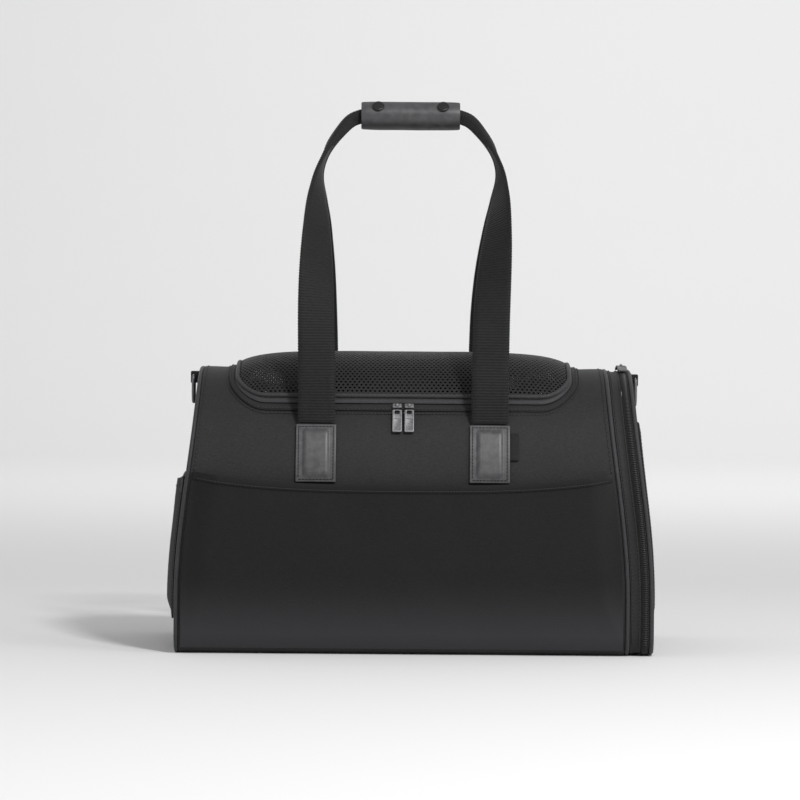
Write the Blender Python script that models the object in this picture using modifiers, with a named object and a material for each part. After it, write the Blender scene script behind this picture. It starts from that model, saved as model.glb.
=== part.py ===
"""Soft-sided pet carrier bag: sewn shell, mesh lid, end door, two carry handles.

Metres, +Z up, +X towards the door end, -Y the front. The origin is on the floor
under the middle of the bag.
"""
import math

import bpy
import bmesh
from mathutils import Matrix, Vector

# shell section, seen from the end
SIDE = 0.132  # half depth of the walls
TOP = 0.262  # height of the roof
BEND = 0.100  # height where the walls start to curve in
CURVE = 2.5  # exponent of the curved part
CORNER = 0.020  # radius of the bottom corners
CLOTH = 0.0025  # wall thickness
GAP = 0.0004  # clearance between neighbours
# shell length, seen from the front
LONG_LOW = 0.205  # half length at the base
LONG_TOP = 0.187  # half length at the roof
LONG_START = 0.050
LONG_RUN = 0.215
PIPE = 0.0020  # piping radius
BOARD = (0.396, 0.214, 0.0022)
BOARD_Z = 0.0041
BED = (0.372, 0.216, 0.020)
BED_Z = 0.0160
# steps outwards at the door end, from the end of the long panels
GUSSET = (0.0052, 0.0145)
BODY_TAPE = (0.0150, 0.0185)
DOOR_TAPE = (0.0190, 0.0225)
DOOR_FACE = 0.0230
DOOR_WALL = 0.0040
FLAP_FACE = 0.0275
END_INSET = 0.0015
WINDOW = (0.085, 0.050, 0.200, 0.030)  # half width, low, high, corner radius
FLAP = (0.095, 0.036, 0.214, 0.012)
FLAP_WALL = 0.0020
FLAP_TAB = (0.0014, 0.030, 0.018, 0.041)  # thickness, width, depth, height above the floor
# lid, seen from above
LID_X = 0.1545
LID_Y = 0.0920
LID_CORNER = 0.028
LID_RISE = 0.0135
LID_BINDING = 0.0041  # top of the binding over the roof
LID_SLIDER = (0.0088, 0.0050, 0.0028)  # across, along the tape, deep
DOOR_SLIDER = (0.0052, 0.0086, 0.0028)
PULL = (0.0087, 0.0230, 0.0018)
PULL_REACH = 0.0120  # from the pull's pivot to its middle
# handles
PATCH_X = 0.080
PATCH_WIDE = 0.036
PATCH_LOW = 0.1582
PATCH_HIGH = 0.2090
PATCH_THICK = 0.0030
TAG = (0.1780, 0.2035, 0.0085)  # low, high, reach from the patch's edge
GRIP_X = 0.005  # the grip sits a little towards the door
GRIP_Z = 0.4995
GRIP_LONG = 0.093
GRIP_DEEP = 0.0185
GRIP_TALL = 0.0130
LEATHER = 0.0020
GRIP_FLAP = 0.0014  # leather of the grip's outer flap
SNAP = (0.0058, 0.0012, 0.0305)  # radius, depth, distance from the grip's middle
# pockets
POCKET_TOP = 0.1565
POCKET_RISE = 0.0095  # how much higher its edge is at the ends
POCKET_LOW = 0.024
POCKET_WALL = 0.0022
LEFT_POCKET = (0.030, 0.160, 0.095)  # low, high, half width
LEFT_POCKET_WALL = 0.0024
LEFT_POCKET_ROOM = 0.0068
LEFT_END = 0.0046  # from the long panels' end to the outside of the left end
LEFT_FACE = 0.0052  # from the long panels' end to the back of the left pocket
LEFT_TAB = (0.0012, 0.024, 0.052)  # thickness, width, height above the floor
SLEEVE = (0.050, 0.150, 0.100)  # low, high, half width
POCKET_ROOM = 0.0052
# hardware
RING_WIRE = 0.0015
RING_SHAPE = (0.0115, 0.0240, 0.0115)  # half width, straight drop, radius of the bend
RING_TAB = (0.0150, 0.0110)  # width, height
RING_LEFT = (-0.1980, 0.2520)  # x and z of the bar the ring turns on
RING_RIGHT = (0.2190, 0.2520)

for old in list(bpy.data.objects):
    bpy.data.objects.remove(old)
bag = bpy.data.collections.new("pet_carrier_bag")
cutters = bpy.data.collections.new("cutters")
bpy.context.scene.collection.children.link(bag)
bpy.context.scene.collection.children.link(cutters)


def material(name, colour, roughness, metallic=0.0):
    made = bpy.data.materials.new(name)
    made.use_nodes = True
    shader = made.node_tree.nodes["Principled BSDF"]
    shader.inputs["Base Color"].default_value = (*colour, 1)
    shader.inputs["Roughness"].default_value = roughness
    shader.inputs["Metallic"].default_value = metallic
    return made


SHADES = {
    "nylon": ((0.040, 0.040, 0.042), 0.75, 0.0),
    "pocket": ((0.022, 0.022, 0.022), 0.80, 0.0),
    "mesh": ((0.015, 0.015, 0.016), 0.70, 0.0),
    "webbing": ((0.022, 0.022, 0.023), 0.80, 0.0),
    "leather": ((0.060, 0.060, 0.061), 0.45, 0.0),
    "tape": ((0.012, 0.012, 0.012), 0.85, 0.0),
    "gunmetal": ((0.200, 0.200, 0.200), 0.35, 1.0),
    "fleece": ((0.300, 0.300, 0.310), 0.95, 0.0),
    "board": ((0.050, 0.050, 0.050), 0.70, 0.0),
}


def finish(thing, shade, name):
    """Names the object, files it in the bag and gives it its own material."""
    for home in list(thing.users_collection):
        home.objects.unlink(thing)
    bag.objects.link(thing)
    thing.name = name
    thing.data.name = name
    thing.data.materials.clear()
    thing.data.materials.append(material(name, *SHADES[shade]))
    return thing


def smooth(value):
    held = min(max(value, 0.0), 1.0)
    return held * held * (3 - 2 * held)


def half_length(z):
    return LONG_LOW - (LONG_LOW - LONG_TOP) * smooth((z - LONG_START) / LONG_RUN)


def rising(t, inset=0.0):
    """Half of the section: t 0 base centre, 1 to 1.5 corner, 2 bend, 3 roof centre."""
    side = SIDE - inset
    corner = CORNER - min(inset, CORNER / 2)
    if t <= 1:
        return t * (side - corner), inset
    if t <= 1.5:
        turn = (t - 1) * math.pi
        return side - corner + corner * math.sin(turn), inset + corner * (1 - math.cos(turn))
    if t <= 2:
        low = inset + corner
        return side, low + (BEND - low) * (t - 1.5) * 2
    turn = (t - 2) * math.pi / 2
    power = 2 / CURVE
    across = side * max(math.cos(turn), 0.0) ** power
    return across, BEND + (TOP - inset - BEND) * math.sin(turn) ** power


def around(w, inset=0.0):
    """The whole section: w runs from base centre up the front, over, and down the back."""
    w = w % 6
    if w <= 3:
        y, z = rising(w, inset)
        return -y, z
    return rising(6 - w, inset)


def step_of(z):
    """The step t of a height on the curved part."""
    part = ((z - BEND) / (TOP - BEND)) ** (CURVE / 2)
    return 2 + math.asin(part) / (math.pi / 2)


def roof_height(y):
    part = min(abs(y) / SIDE, 1.0)
    return BEND + (TOP - BEND) * (1 - part**CURVE) ** (1 / CURVE)


def slope(y):
    """Angle of the roof surface below level, at a distance from the ridge."""
    step = 0.0005
    return math.atan2(roof_height(abs(y)) - roof_height(abs(y) + step), step)


def grid(name, across, along, place, wall=0.0, closed=False, offset=-1.0):
    """A grid whose points are placed by a function of (u, v), each 0 to 1."""
    mesh = bpy.data.meshes.new(name)
    shape = bmesh.new()
    bmesh.ops.create_grid(shape, x_segments=across, y_segments=along, size=0.5)
    for point in shape.verts:
        point.co = Vector(place(point.co.x + 0.5, point.co.y + 0.5))
    if closed:
        bmesh.ops.remove_doubles(shape, verts=shape.verts, dist=0.00002)
    bmesh.ops.recalc_face_normals(shape, faces=shape.faces)
    shape.to_mesh(mesh)
    shape.free()
    thing = bpy.data.objects.new(name, mesh)
    bag.objects.link(thing)
    if wall:
        thick = thing.modifiers.new("wall", "SOLIDIFY")
        thick.thickness = wall
        thick.offset = offset
        thick.use_even_offset = False
    return thing


def face_out(thing, outwards):
    """Flips an open sheet whose faces look against the given direction test."""
    mesh = thing.data
    total = sum(f.normal.dot(outwards(f.center)) * f.area for f in mesh.polygons)
    if total < 0:
        mesh.flip_normals()
    return thing


def from_axis(centre):
    return Vector((0, centre.y, centre.z - 0.12))


def band(name, w_low, w_high, left, right, cells, wall=CLOTH, inset=0.0, lift=0.0):
    """A strip of the section between two steps, from left(z) to right(z)."""
    ring = abs(w_high - w_low) >= 5.999

    def place(u, v):
        y, z = around(w_low + (w_high - w_low) * u, inset)
        return left(z) + (right(z) - left(z)) * v, y, z

    made = grid(name, cells[0], cells[1], place, wall, closed=ring, offset=1.0 if lift else -1.0)
    face_out(made, from_axis)
    if lift:
        lift_along(made.data, lift)
    return made


def lift_along(mesh, distance):
    moves = [v.normal.copy() * distance for v in mesh.vertices]
    for point, move in zip(mesh.vertices, moves):
        point.co += move


def plate(name, x_of, wall, inset, sign, rows=26, columns=12):
    """An end plate inside the section's outline, facing sign along X."""
    low_t, high_t = 1.0, 2.93

    def place(u, v):
        y, z = rising(low_t + (high_t - low_t) * v, inset)
        return x_of(y * (2 * u - 1), z), y * (2 * u - 1), z

    made = grid(name, columns, rows, place, wall, offset=1.0)
    return face_out(made, lambda centre: Vector((sign, 0, 0)))


def block(name, size, middle, bevel=0.0, turn=None, segments=2):
    bpy.ops.mesh.primitive_cube_add(size=1)
    thing = bpy.context.object
    thing.data.transform(Matrix.Diagonal((*size, 1)))
    if bevel:
        edge = thing.modifiers.new("edge", "BEVEL")
        edge.width = bevel
        edge.segments = segments
    thing.location = middle
    if turn:
        thing.rotation_euler = turn
    thing.name = name
    return thing


def prism(name, half_x, half_y, corner, low, high, spread=0.0):
    """An upright cutter with rounded corners, seen from above."""
    tool = block(name, (2 * (half_x + spread), 2 * (half_y + spread), high - low),
                 (0, 0, (low + high) / 2))
    shape = bmesh.new()
    shape.from_mesh(tool.data)
    upright = [e for e in shape.edges if abs(e.verts[0].co.z - e.verts[1].co.z) > 0.001]
    bmesh.ops.bevel(shape, geom=upright, offset=corner + spread, segments=8, affect="EDGES",
                    profile=0.5)
    shape.to_mesh(tool.data)
    shape.free()
    return hide_cutter(tool)


def end_prism(name, half_y, low, high, corner, spread=0.0):
    """A cutter along X with rounded corners, for the door's window and flap."""
    tool = prism(name, half_y, (high - low) / 2, corner, -0.05, 0.05, spread)
    tool.data.transform(Matrix.Rotation(math.pi / 2, 4, "X"))
    tool.data.transform(Matrix.Rotation(math.pi / 2, 4, "Z"))
    tool.location = (0.215, 0, (low + high) / 2)
    return tool


def hide_cutter(tool):
    for home in list(tool.users_collection):
        home.objects.unlink(tool)
    cutters.objects.link(tool)
    tool.hide_render = True
    tool.display_type = "WIRE"
    return tool


def cut(thing, tool, how="DIFFERENCE"):
    joint = thing.modifiers.new(how.lower(), "BOOLEAN")
    joint.operation = how
    joint.object = tool
    joint.solver = "EXACT"
    return thing


def wire(name, points, radius, loop=True, sides=2):
    """A round tube through the points, closed on itself or with filled caps."""
    path = bpy.data.curves.new(name, "CURVE")
    path.dimensions = "3D"
    path.bevel_depth = radius
    path.bevel_resolution = sides
    path.use_fill_caps = not loop
    line = path.splines.new("POLY")
    line.points.add(len(points) - 1)
    for spot, point in zip(line.points, points):
        spot.co = (*point, 1)
    line.use_cyclic_u = loop
    thing = bpy.data.objects.new(name, path)
    bag.objects.link(thing)
    return thing


def rounded_plan(half_x, half_y, corner, turns=6):
    """Corner-rounded outline seen from above, as (x, y) points."""
    points = []
    for quarter, (sx, sy) in enumerate(((1, 1), (-1, 1), (-1, -1), (1, -1))):
        for step in range(turns + 1):
            angle = (quarter + step / turns) * math.pi / 2
            points.append((sx * (half_x - corner) + corner * math.cos(angle),
                           sy * (half_y - corner) + corner * math.sin(angle)))
    return points


def fill_between(points, longest):
    """Adds points on long straight stretches so that a tube can follow the roof."""
    full = []
    for here, there in zip(points, points[1:] + points[:1]):
        span = math.dist(here, there)
        count = max(1, math.ceil(span / longest))
        for step in range(count):
            share = step / count
            full.append(tuple(a + (b - a) * share for a, b in zip(here, there)))
    return full


def build_shell():
    def left(z):
        return -half_length(z)

    main = finish(band("main", 1.504, 3.996, left, half_length, (44, 14)), "nylon", "main_panel")
    cut(main, prism("lid_cutter", LID_X, LID_Y, LID_CORNER, 0.15, 0.35, -0.0045))
    finish(band("back", 4.004, 4.496, left, half_length, (4, 8)), "nylon", "back_panel")
    finish(band("base", -1.496, 1.496, left, half_length, (22, 4)), "nylon", "bottom_panel")
    finish(block("board", BOARD, (0, 0, BOARD_Z), 0.0004), "board", "base_board")
    bed = block("bed", BED, (0, 0, BED_Z), 0.008, segments=3)
    finish(bed, "fleece", "pet_bed")

    for sign, name in ((-1, "left_piping"), (1, "right_piping")):
        spots = []
        for step in range(64):
            y, z = around(6 * step / 64, PIPE)
            spots.append((sign * (half_length(z) + PIPE + GAP), y, z))
        finish(wire(name, spots, PIPE, sides=1), "tape", name)

    def left_x(y, z):
        swell = math.cos(min(abs(y) / SIDE, 1) * math.pi / 2)
        return -(half_length(z) + 0.0005 + 0.0015 * swell)

    finish(plate("left_end", left_x, CLOTH, LEFT_END, -1, 22, 8), "nylon", "left_end_panel")
    for name, span, shade in (("right_gusset", GUSSET, "nylon"),
                              ("door_zip_tape_body", BODY_TAPE, "tape")):
        ring = band(name, 0, 6, lambda z, s=span: half_length(z) + s[0],
                    lambda z, s=span: half_length(z) + s[1], (66, 1), CLOTH, END_INSET)
        finish(ring, shade, name)


def build_left_pocket():
    low, high, wide = LEFT_POCKET

    def place(u, v):
        y = wide * (2 * u - 1)
        z = low + (high - low) * v
        edge = min(smooth((wide - abs(y)) / 0.018), smooth((z - low) / 0.018))
        return -(half_length(z) + LEFT_FACE + LEFT_POCKET_ROOM * edge), y, z

    made = grid("left_pocket", 22, 18, place, LEFT_POCKET_WALL, offset=1.0)
    face_out(made, lambda centre: Vector((-1, 0, 0)))
    finish(made, "nylon", "left_end_pocket")
    height = LEFT_TAB[2]
    outer = half_length(height) + LEFT_FACE + LEFT_POCKET_ROOM + LEFT_POCKET_WALL
    tab = block("tab", LEFT_TAB[:2] + (0.020,), (-(outer + 0.0010), 0, height), 0.0003)
    finish(tab, "tape", "left_base_tab")


def build_front_pocket():
    """The slip pocket: sewn at the sides and the base, open along its top edge."""
    low = POCKET_LOW

    def place(u, v):
        side = 2 * u - 1
        high = POCKET_TOP + POCKET_RISE * side**4
        z = low + (high - low) * v
        x = side * (half_length(z) - 0.0020)
        edge = min(smooth((1 - abs(side)) / 0.10), smooth((z - low) / 0.024))
        wall = SIDE + GAP
        if z > BEND:
            wall = SIDE * (1 - ((z - BEND) / (TOP - BEND)) ** CURVE) ** (1 / CURVE) + GAP + 0.0004
        open_y = SIDE + POCKET_ROOM
        return x, -(wall + (open_y - wall) * edge), z

    made = grid("front_pocket", 40, 16, place, POCKET_WALL, offset=1.0)
    face_out(made, lambda centre: Vector((0, -1, 0)))
    finish(made, "pocket", "front_pocket")


def build_trolley_sleeve():
    """A band on the back, open at its top and its bottom, for a trolley handle."""
    low, high, wide = SLEEVE

    def place(u, v):
        x = wide * (2 * u - 1)
        z = low + (high - low) * v
        wall = (rising(step_of(z))[0] if z > BEND else SIDE) + 2 * GAP
        edge = smooth((wide - abs(x)) / 0.012)
        return x, wall + (SIDE + POCKET_ROOM - wall) * edge, z

    made = grid("sleeve", 26, 8, place, POCKET_WALL, offset=1.0)
    face_out(made, lambda centre: Vector((0, 1, 0)))
    finish(made, "nylon", "trolley_sleeve")


def build_patches():
    low, high = step_of(PATCH_LOW), step_of(PATCH_HIGH)
    for face, place in (("front", 0), ("back", 6)):
        for side, x in (("left", -PATCH_X), ("right", PATCH_X)):
            edges = (abs(place - low), abs(place - high))
            name = f"strap_patch_{face}_{side}"
            made = band(name, min(edges), max(edges), lambda z, m=x: m - PATCH_WIDE / 2,
                        lambda z, m=x: m + PATCH_WIDE / 2, (8, 3), PATCH_THICK, lift=GAP)
            finish(made, "leather", name)
    edge = PATCH_X + PATCH_WIDE / 2
    tag = band("tag", step_of(TAG[0]), step_of(TAG[1]), lambda z: edge + GAP,
               lambda z: edge + TAG[2], (4, 1), 0.0010, lift=GAP)
    finish(tag, "tape", "side_tag")


def lid_height(x, y):
    long_fall = max(1 - abs(x / (LID_X + 0.002)) ** 5, 0) ** 0.6
    deep_fall = max(1 - abs(y / (LID_Y + 0.002)) ** 4, 0) ** 0.6
    return roof_height(y) + 0.0020 + LID_RISE * long_fall * deep_fall


def build_lid():
    half_x, half_y = LID_X + 0.004, LID_Y + 0.004

    def place(u, v):
        x = half_x * math.sin((2 * u - 1) * math.pi / 2)
        y = half_y * math.sin((2 * v - 1) * math.pi / 2)
        return x, y, lid_height(x, y)

    dome = grid("lid_dome", 34, 26, place, 0.0014, offset=-1.0)
    face_out(dome, lambda centre: Vector((0, 0, 1)))
    cut(dome, prism("dome_cutter", LID_X, LID_Y, LID_CORNER, 0.15, 0.35, -0.0026), "INTERSECT")
    finish(dome, "mesh", "lid_mesh")

    plan = fill_between(rounded_plan(LID_X, LID_Y, LID_CORNER, 5), 0.030)
    spots = [(x, y, roof_height(y) + LID_BINDING / math.cos(slope(y))) for x, y in plan]
    finish(wire("binding", spots, PIPE, sides=1), "tape", "lid_binding")

    for name, out, spread in (("lid_zip_tape", 0.0018, -0.0022),
                              ("lid_zip_tape_body", 0.0062, 0.0024)):
        tape = band(name, step_of(0.205), 6 - step_of(0.205), lambda z: -0.168, lambda z: 0.168,
                    (30, 1), 0.0011, lift=GAP)
        cut(tape, prism(name + "_out", LID_X, LID_Y, LID_CORNER, 0.15, 0.35, out), "INTERSECT")
        cut(tape, prism(name + "_in", LID_X, LID_Y, LID_CORNER, 0.14, 0.36, spread))
        finish(tape, "tape", name)


def build_lid_zip_pulls():
    y = LID_Y + 0.0056
    tilt = slope(y)
    normal = Vector((0, -math.sin(tilt), math.cos(tilt)))
    down = Vector((0, -math.cos(tilt), -math.sin(tilt)))
    seat = Vector((0, -y, roof_height(y)))
    pulled = math.radians(12)
    for side, x in (("left", -0.0056), ("right", 0.0056)):
        base = seat + Vector((x, 0, 0))
        slider = block("slider", LID_SLIDER, base + normal * 0.0036, 0.0008,
                       (tilt, 0, 0))
        finish(slider, "gunmetal", f"lid_slider_{side}")
        pivot = base + normal * 0.0040 + down * 0.0042
        pull = block("pull", PULL, pivot, 0.0006,
                     (tilt + pulled, 0, 0))
        pull.data.transform(Matrix.Translation((0, -PULL_REACH, 0)))
        finish(pull, "gunmetal", f"lid_pull_{side}")


def build_door():
    ring = band("tape", 0.95, 5.05, lambda z: half_length(z) + DOOR_TAPE[0],
                lambda z: half_length(z) + DOOR_TAPE[1], (50, 1), CLOTH, END_INSET)
    finish(ring, "tape", "door_zip_tape")

    panel = plate("door", lambda y, z: half_length(z) + DOOR_FACE, DOOR_WALL, END_INSET, 1, 24, 8)
    cut(panel, end_prism("window_cutter", *WINDOW))
    finish(panel, "nylon", "door_panel")
    mesh = plate("window", lambda y, z: half_length(z) + DOOR_FACE + 0.0014, 0.0012, 0.020, 1,
                 16, 6)
    cut(mesh, end_prism("window_fit", *WINDOW, -0.0006), "INTERSECT")
    finish(mesh, "mesh", "door_window_mesh")
    flap = plate("flap", lambda y, z: half_length(z) + FLAP_FACE, FLAP_WALL, 0.020, 1, 18, 6)
    cut(flap, end_prism("flap_cutter", *FLAP), "INTERSECT")
    finish(flap, "nylon", "door_flap")
    thick, wide, deep, height = FLAP_TAB
    tab = block("flap_tab", (thick, wide, deep),
                (half_length(height) + FLAP_FACE + FLAP_WALL + 0.0013, 0, height), 0.0004)
    finish(tab, "tape", "door_flap_tab")


def build_door_pulls():
    x = half_length(TOP) + BODY_TAPE[1] + 0.0002
    lean = math.radians(6)
    for side, way in (("front", -1), ("back", 1)):
        y = way * 0.0052
        slider = block("slider", DOOR_SLIDER, (x, y, TOP + 0.0016), 0.0008,
                       (-way * lean, 0, 0))
        finish(slider, "gunmetal", f"door_slider_{side}")
        pull = block("pull", PULL, (x, way * 0.0110, TOP + 0.0026), 0.0006,
                     (-way * math.radians(8), 0, 0))
        pull.data.transform(Matrix.Translation((0, way * PULL_REACH, 0)))
        finish(pull, "gunmetal", f"door_pull_{side}")


def build_rings():
    for side, (x, z) in (("left", RING_LEFT), ("right", RING_RIGHT)):
        way = -1 if side == "left" else 1
        half, drop, arc = RING_SHAPE
        spots = [(x, -half, z), (x, half, z)]
        for step in range(1, 12):
            angle = math.pi * step / 12
            spots.append((x, arc * math.cos(angle),
                          z - (drop - arc) - arc * math.sin(angle)))
        finish(wire("ring", spots, RING_WIRE, sides=1), "gunmetal", f"{side}_ring")
        outer = x + way * 0.0026
        wall = half_length(z) + (DOOR_FACE + DOOR_WALL if way > 0 else LEFT_END)
        inner = way * (wall + 0.0006)
        tab = block("ring_tab", (abs(outer - inner),) + RING_TAB,
                    ((inner + outer) / 2, 0, z - 0.0004), 0.0008)
        hole = bar_cutter(x, z, side)
        cut(tab, hole)
        finish(tab, "tape", f"{side}_ring_tab")


def bar_cutter(x, z, side):
    bpy.ops.mesh.primitive_cylinder_add(radius=RING_WIRE + 0.0004, depth=0.03, vertices=16)
    tool = bpy.context.object
    tool.name = f"{side}_bar_cutter"
    tool.data.transform(Matrix.Rotation(math.pi / 2, 4, "X"))
    tool.location = (x, 0, z)
    return hide_cutter(tool)


# stations of one strap leg: height, distance from the middle, distance to the front,
# width, thickness, turn of the width from lengthwise towards depth (degrees)
LEG = (
    (0.2138, 0.0800, 0.1112, 0.0340, 0.0022, 0),
    (0.2500, 0.0800, 0.1118, 0.0340, 0.0022, 0),
    (0.3000, 0.0808, 0.1060, 0.0340, 0.0022, 8),
    (0.3450, 0.0822, 0.0930, 0.0340, 0.0022, 24),
    (0.3900, 0.0838, 0.0720, 0.0340, 0.0022, 45),
    (0.4250, 0.0845, 0.0500, 0.0330, 0.0024, 68),
    (0.4500, 0.0830, 0.0335, 0.0290, 0.0030, 86),
    (0.4700, 0.0760, 0.0215, 0.0220, 0.0052, 90),
    (0.4850, 0.0655, 0.0135, 0.0160, 0.0080, 90),
    (0.4950, 0.0555, 0.0088, 0.0125, 0.0100, 90),
    (GRIP_Z, 0.0440, 0.0072, 0.0115, 0.0105, 90),
)


def leg_station(place):
    """Smooth reading of the leg table, at a place from 0 to its last row."""
    here = min(int(place), len(LEG) - 2)
    share = place - here
    rows = [LEG[min(max(here + k, 0), len(LEG) - 1)] for k in (-1, 0, 1, 2)]
    out = []
    for a, b, c, d in zip(*rows):
        value = b + 0.5 * share * (c - a + share * (2 * a - 5 * b + 4 * c - d
                                                    + share * (3 * (b - c) + d - a)))
        out.append(value)
    return out


def strap_stations(steps):
    """Left leg up, through the grip, right leg down."""
    last = len(LEG) - 1
    places = [last * k / steps for k in range(steps + 1)]
    stations = []
    for side, order in ((-1, places), (1, places[::-1])):
        for place in order:
            z, x, y, wide, thick, turn = leg_station(place)
            shift = GRIP_X * smooth((z - 0.30) / 0.18)
            stations.append((side, Vector((side * x + shift, -y, z)), wide, thick, turn))
    return stations


def build_handle(name, mirror):
    stations = strap_stations(22)
    corner = 0.30
    section = [(-1, -corner), (-1, corner), (-0.86, 1), (0.86, 1), (1, corner), (1, -corner),
               (0.86, -1), (-0.86, -1)]
    count = len(stations)

    def place(u, v):
        index = round(v * (count - 1))
        side, middle, wide, thick, turn = stations[index]
        before = stations[max(index - 1, 0)][1]
        after = stations[min(index + 1, count - 1)][1]
        along = (after - before).normalized()
        angle = math.radians(turn)
        width_way = Vector((-side * math.cos(angle), math.sin(angle), 0))
        width_way = (width_way - along * width_way.dot(along)).normalized()
        thick_way = along.cross(width_way)
        across, through = section[round(u * len(section)) % len(section)]
        spot = middle + width_way * across * wide / 2 + thick_way * through * thick / 2
        return spot.x, spot.y * (-1 if mirror else 1), spot.z

    made = grid(name, len(section), count - 1, place, closed=True)
    close_ends(made)
    finish(made, "webbing", name)


def close_ends(thing):
    shape = bmesh.new()
    shape.from_mesh(thing.data)
    bmesh.ops.holes_fill(shape, edges=[e for e in shape.edges if e.is_boundary], sides=0)
    bmesh.ops.recalc_face_normals(shape, faces=shape.faces)
    shape.to_mesh(thing.data)
    shape.free()


def build_grip():
    def half_oval(name, way, low, high, grow, wall):
        """A leather layer round one strap: angles from the bottom (0) to the top (180)."""
        def place(u, v):
            angle = math.radians(low + (high - low) * v)
            x = GRIP_X + GRIP_LONG * (u - 0.5)
            y = 0.0005 + (GRIP_DEEP + grow) * math.sin(angle)
            return x, way * y, GRIP_Z - (GRIP_TALL + grow) * math.cos(angle)

        made = grid(name, 4, 16, place, wall, offset=-1.0)
        return face_out(made, lambda centre: Vector((0, centre.y, centre.z - GRIP_Z)))

    finish(half_oval("front", -1, 3, 177, 0, LEATHER), "leather", "grip_front")
    finish(half_oval("back", 1, 3, 177, 0, LEATHER), "leather", "grip_back")
    finish(half_oval("flap", -1, 22, 150, GAP + GRIP_FLAP, GRIP_FLAP), "leather", "grip_flap")
    angle = math.radians(122)
    out = GRIP_DEEP + GAP + GRIP_FLAP
    tall = GRIP_TALL + GAP + GRIP_FLAP
    normal = Vector((0, -math.sin(angle) / out, -math.cos(angle) / tall)).normalized()
    spot = Vector((0, -(0.0005 + out * math.sin(angle)), GRIP_Z - tall * math.cos(angle)))
    for side, x in (("left", -SNAP[2]), ("right", SNAP[2])):
        bpy.ops.mesh.primitive_cylinder_add(radius=SNAP[0], depth=SNAP[1], vertices=24)
        cap = bpy.context.object
        dome = cap.modifiers.new("edge", "BEVEL")
        dome.width = 0.0004
        dome.limit_method = "ANGLE"
        cap.location = spot + normal * 0.0018 + Vector((GRIP_X + x, 0, 0))
        cap.rotation_mode = "QUATERNION"
        cap.rotation_quaternion = normal.to_track_quat("Z", "Y")
        finish(cap, "gunmetal", f"snap_cap_{side}")


build_shell()
build_left_pocket()
build_front_pocket()
build_trolley_sleeve()
build_patches()
build_lid()
build_lid_zip_pulls()
build_door()
build_door_pulls()
build_rings()
build_handle("front_handle", False)
build_handle("back_handle", True)
build_grip()
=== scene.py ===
import math

import bmesh
import bpy
import numpy as np
from mathutils import Matrix, Vector, noise


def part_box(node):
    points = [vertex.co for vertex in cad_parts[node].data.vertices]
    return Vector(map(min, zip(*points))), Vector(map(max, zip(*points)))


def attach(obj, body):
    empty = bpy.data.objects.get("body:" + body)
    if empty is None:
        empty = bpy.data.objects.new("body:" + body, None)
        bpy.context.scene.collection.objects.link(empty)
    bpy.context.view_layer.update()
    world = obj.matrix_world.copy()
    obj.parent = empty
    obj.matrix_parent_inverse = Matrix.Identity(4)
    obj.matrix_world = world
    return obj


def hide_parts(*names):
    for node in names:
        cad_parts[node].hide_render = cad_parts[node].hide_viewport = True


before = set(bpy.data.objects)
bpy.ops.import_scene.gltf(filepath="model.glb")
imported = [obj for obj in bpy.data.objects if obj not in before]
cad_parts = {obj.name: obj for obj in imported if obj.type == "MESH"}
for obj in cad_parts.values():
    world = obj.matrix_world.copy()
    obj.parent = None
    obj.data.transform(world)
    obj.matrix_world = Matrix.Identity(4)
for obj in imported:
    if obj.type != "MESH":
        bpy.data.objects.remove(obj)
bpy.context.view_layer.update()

# the bag's section, as the frame has it
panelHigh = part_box("main_panel")[1]
section = {
    "side": panelHigh.y,        # half depth of the walls
    "top": panelHigh.z,         # height of the roof
    "bend": 0.100,              # where the walls start to curve in
    "power": 2.5,               # how square the shoulders are
    "corner": 0.020,            # bottom corner radius
    "long": panelHigh.x,        # half length at the base
    "longTop": 0.187,           # half length at the roof
    "taperFrom": 0.050,
    "taperOver": 0.215,
}


def smooth(value):
    held = min(max(value, 0.0), 1.0)
    return held * held * (3 - 2 * held)


def halfLength(z):
    drop = section["long"] - section["longTop"]
    return section["long"] - drop * smooth((z - section["taperFrom"]) / section["taperOver"])


def rising(t, inset=0.0):
    # half of the section: t 0 base centre, 1 to 1.5 corner, 2 bend, 3 roof centre
    side = section["side"] - inset
    corner = section["corner"] - min(inset, 0.010)
    bend, top = section["bend"], section["top"] - inset
    if t <= 1:
        return t * (side - corner), inset
    if t <= 1.5:
        turn = (t - 1) * math.pi
        return side - corner + corner * math.sin(turn), inset + corner * (1 - math.cos(turn))
    if t <= 2:
        low = inset + corner
        return side, low + (bend - low) * (t - 1.5) * 2
    turn = (t - 2) * math.pi / 2
    power = 2 / section["power"]
    return side * max(math.cos(turn), 0.0) ** power, bend + (top - bend) * math.sin(turn) ** power


def around(w, inset=0.0):
    # w runs from the base centre up the front, over the roof and down the back
    w = w % 6
    if w <= 3:
        y, z = rising(w, inset)
        return -y, z
    return rising(6 - w, inset)


def stepOf(z):
    share = max(z - section["bend"], 0) / (section["top"] - section["bend"])
    return 2 + math.asin(min(share, 1) ** (section["power"] / 2)) / (math.pi / 2)


def wallDepth(z, inset=0.0):
    # half depth of the bag at a height
    if z < section["corner"]:
        fall = 1 - z / section["corner"]
        curve = section["corner"] * (1 - math.sqrt(max(1 - fall * fall, 0)))
        return section["side"] - inset - curve
    if z <= section["bend"]:
        return section["side"] - inset
    share = min((z - section["bend"]) / (section["top"] - section["bend"]), 1)
    return (section["side"] - inset) * (1 - share ** section["power"]) ** (1 / section["power"])


def roofHeight(y):
    share = min(abs(y) / section["side"], 1)
    span = section["top"] - section["bend"]
    return section["bend"] + span * (1 - share ** section["power"]) ** (1 / section["power"])


def roofSlope(y):
    step = 0.0005
    return math.atan2(roofHeight(abs(y)) - roofHeight(abs(y) + step), step)


def ripple(point, size, seed):
    # soft unevenness, -1 to 1, with features about this size
    return noise.noise(Vector(point) / size + Vector((seed, seed * 1.7, seed * 0.3)))


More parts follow.
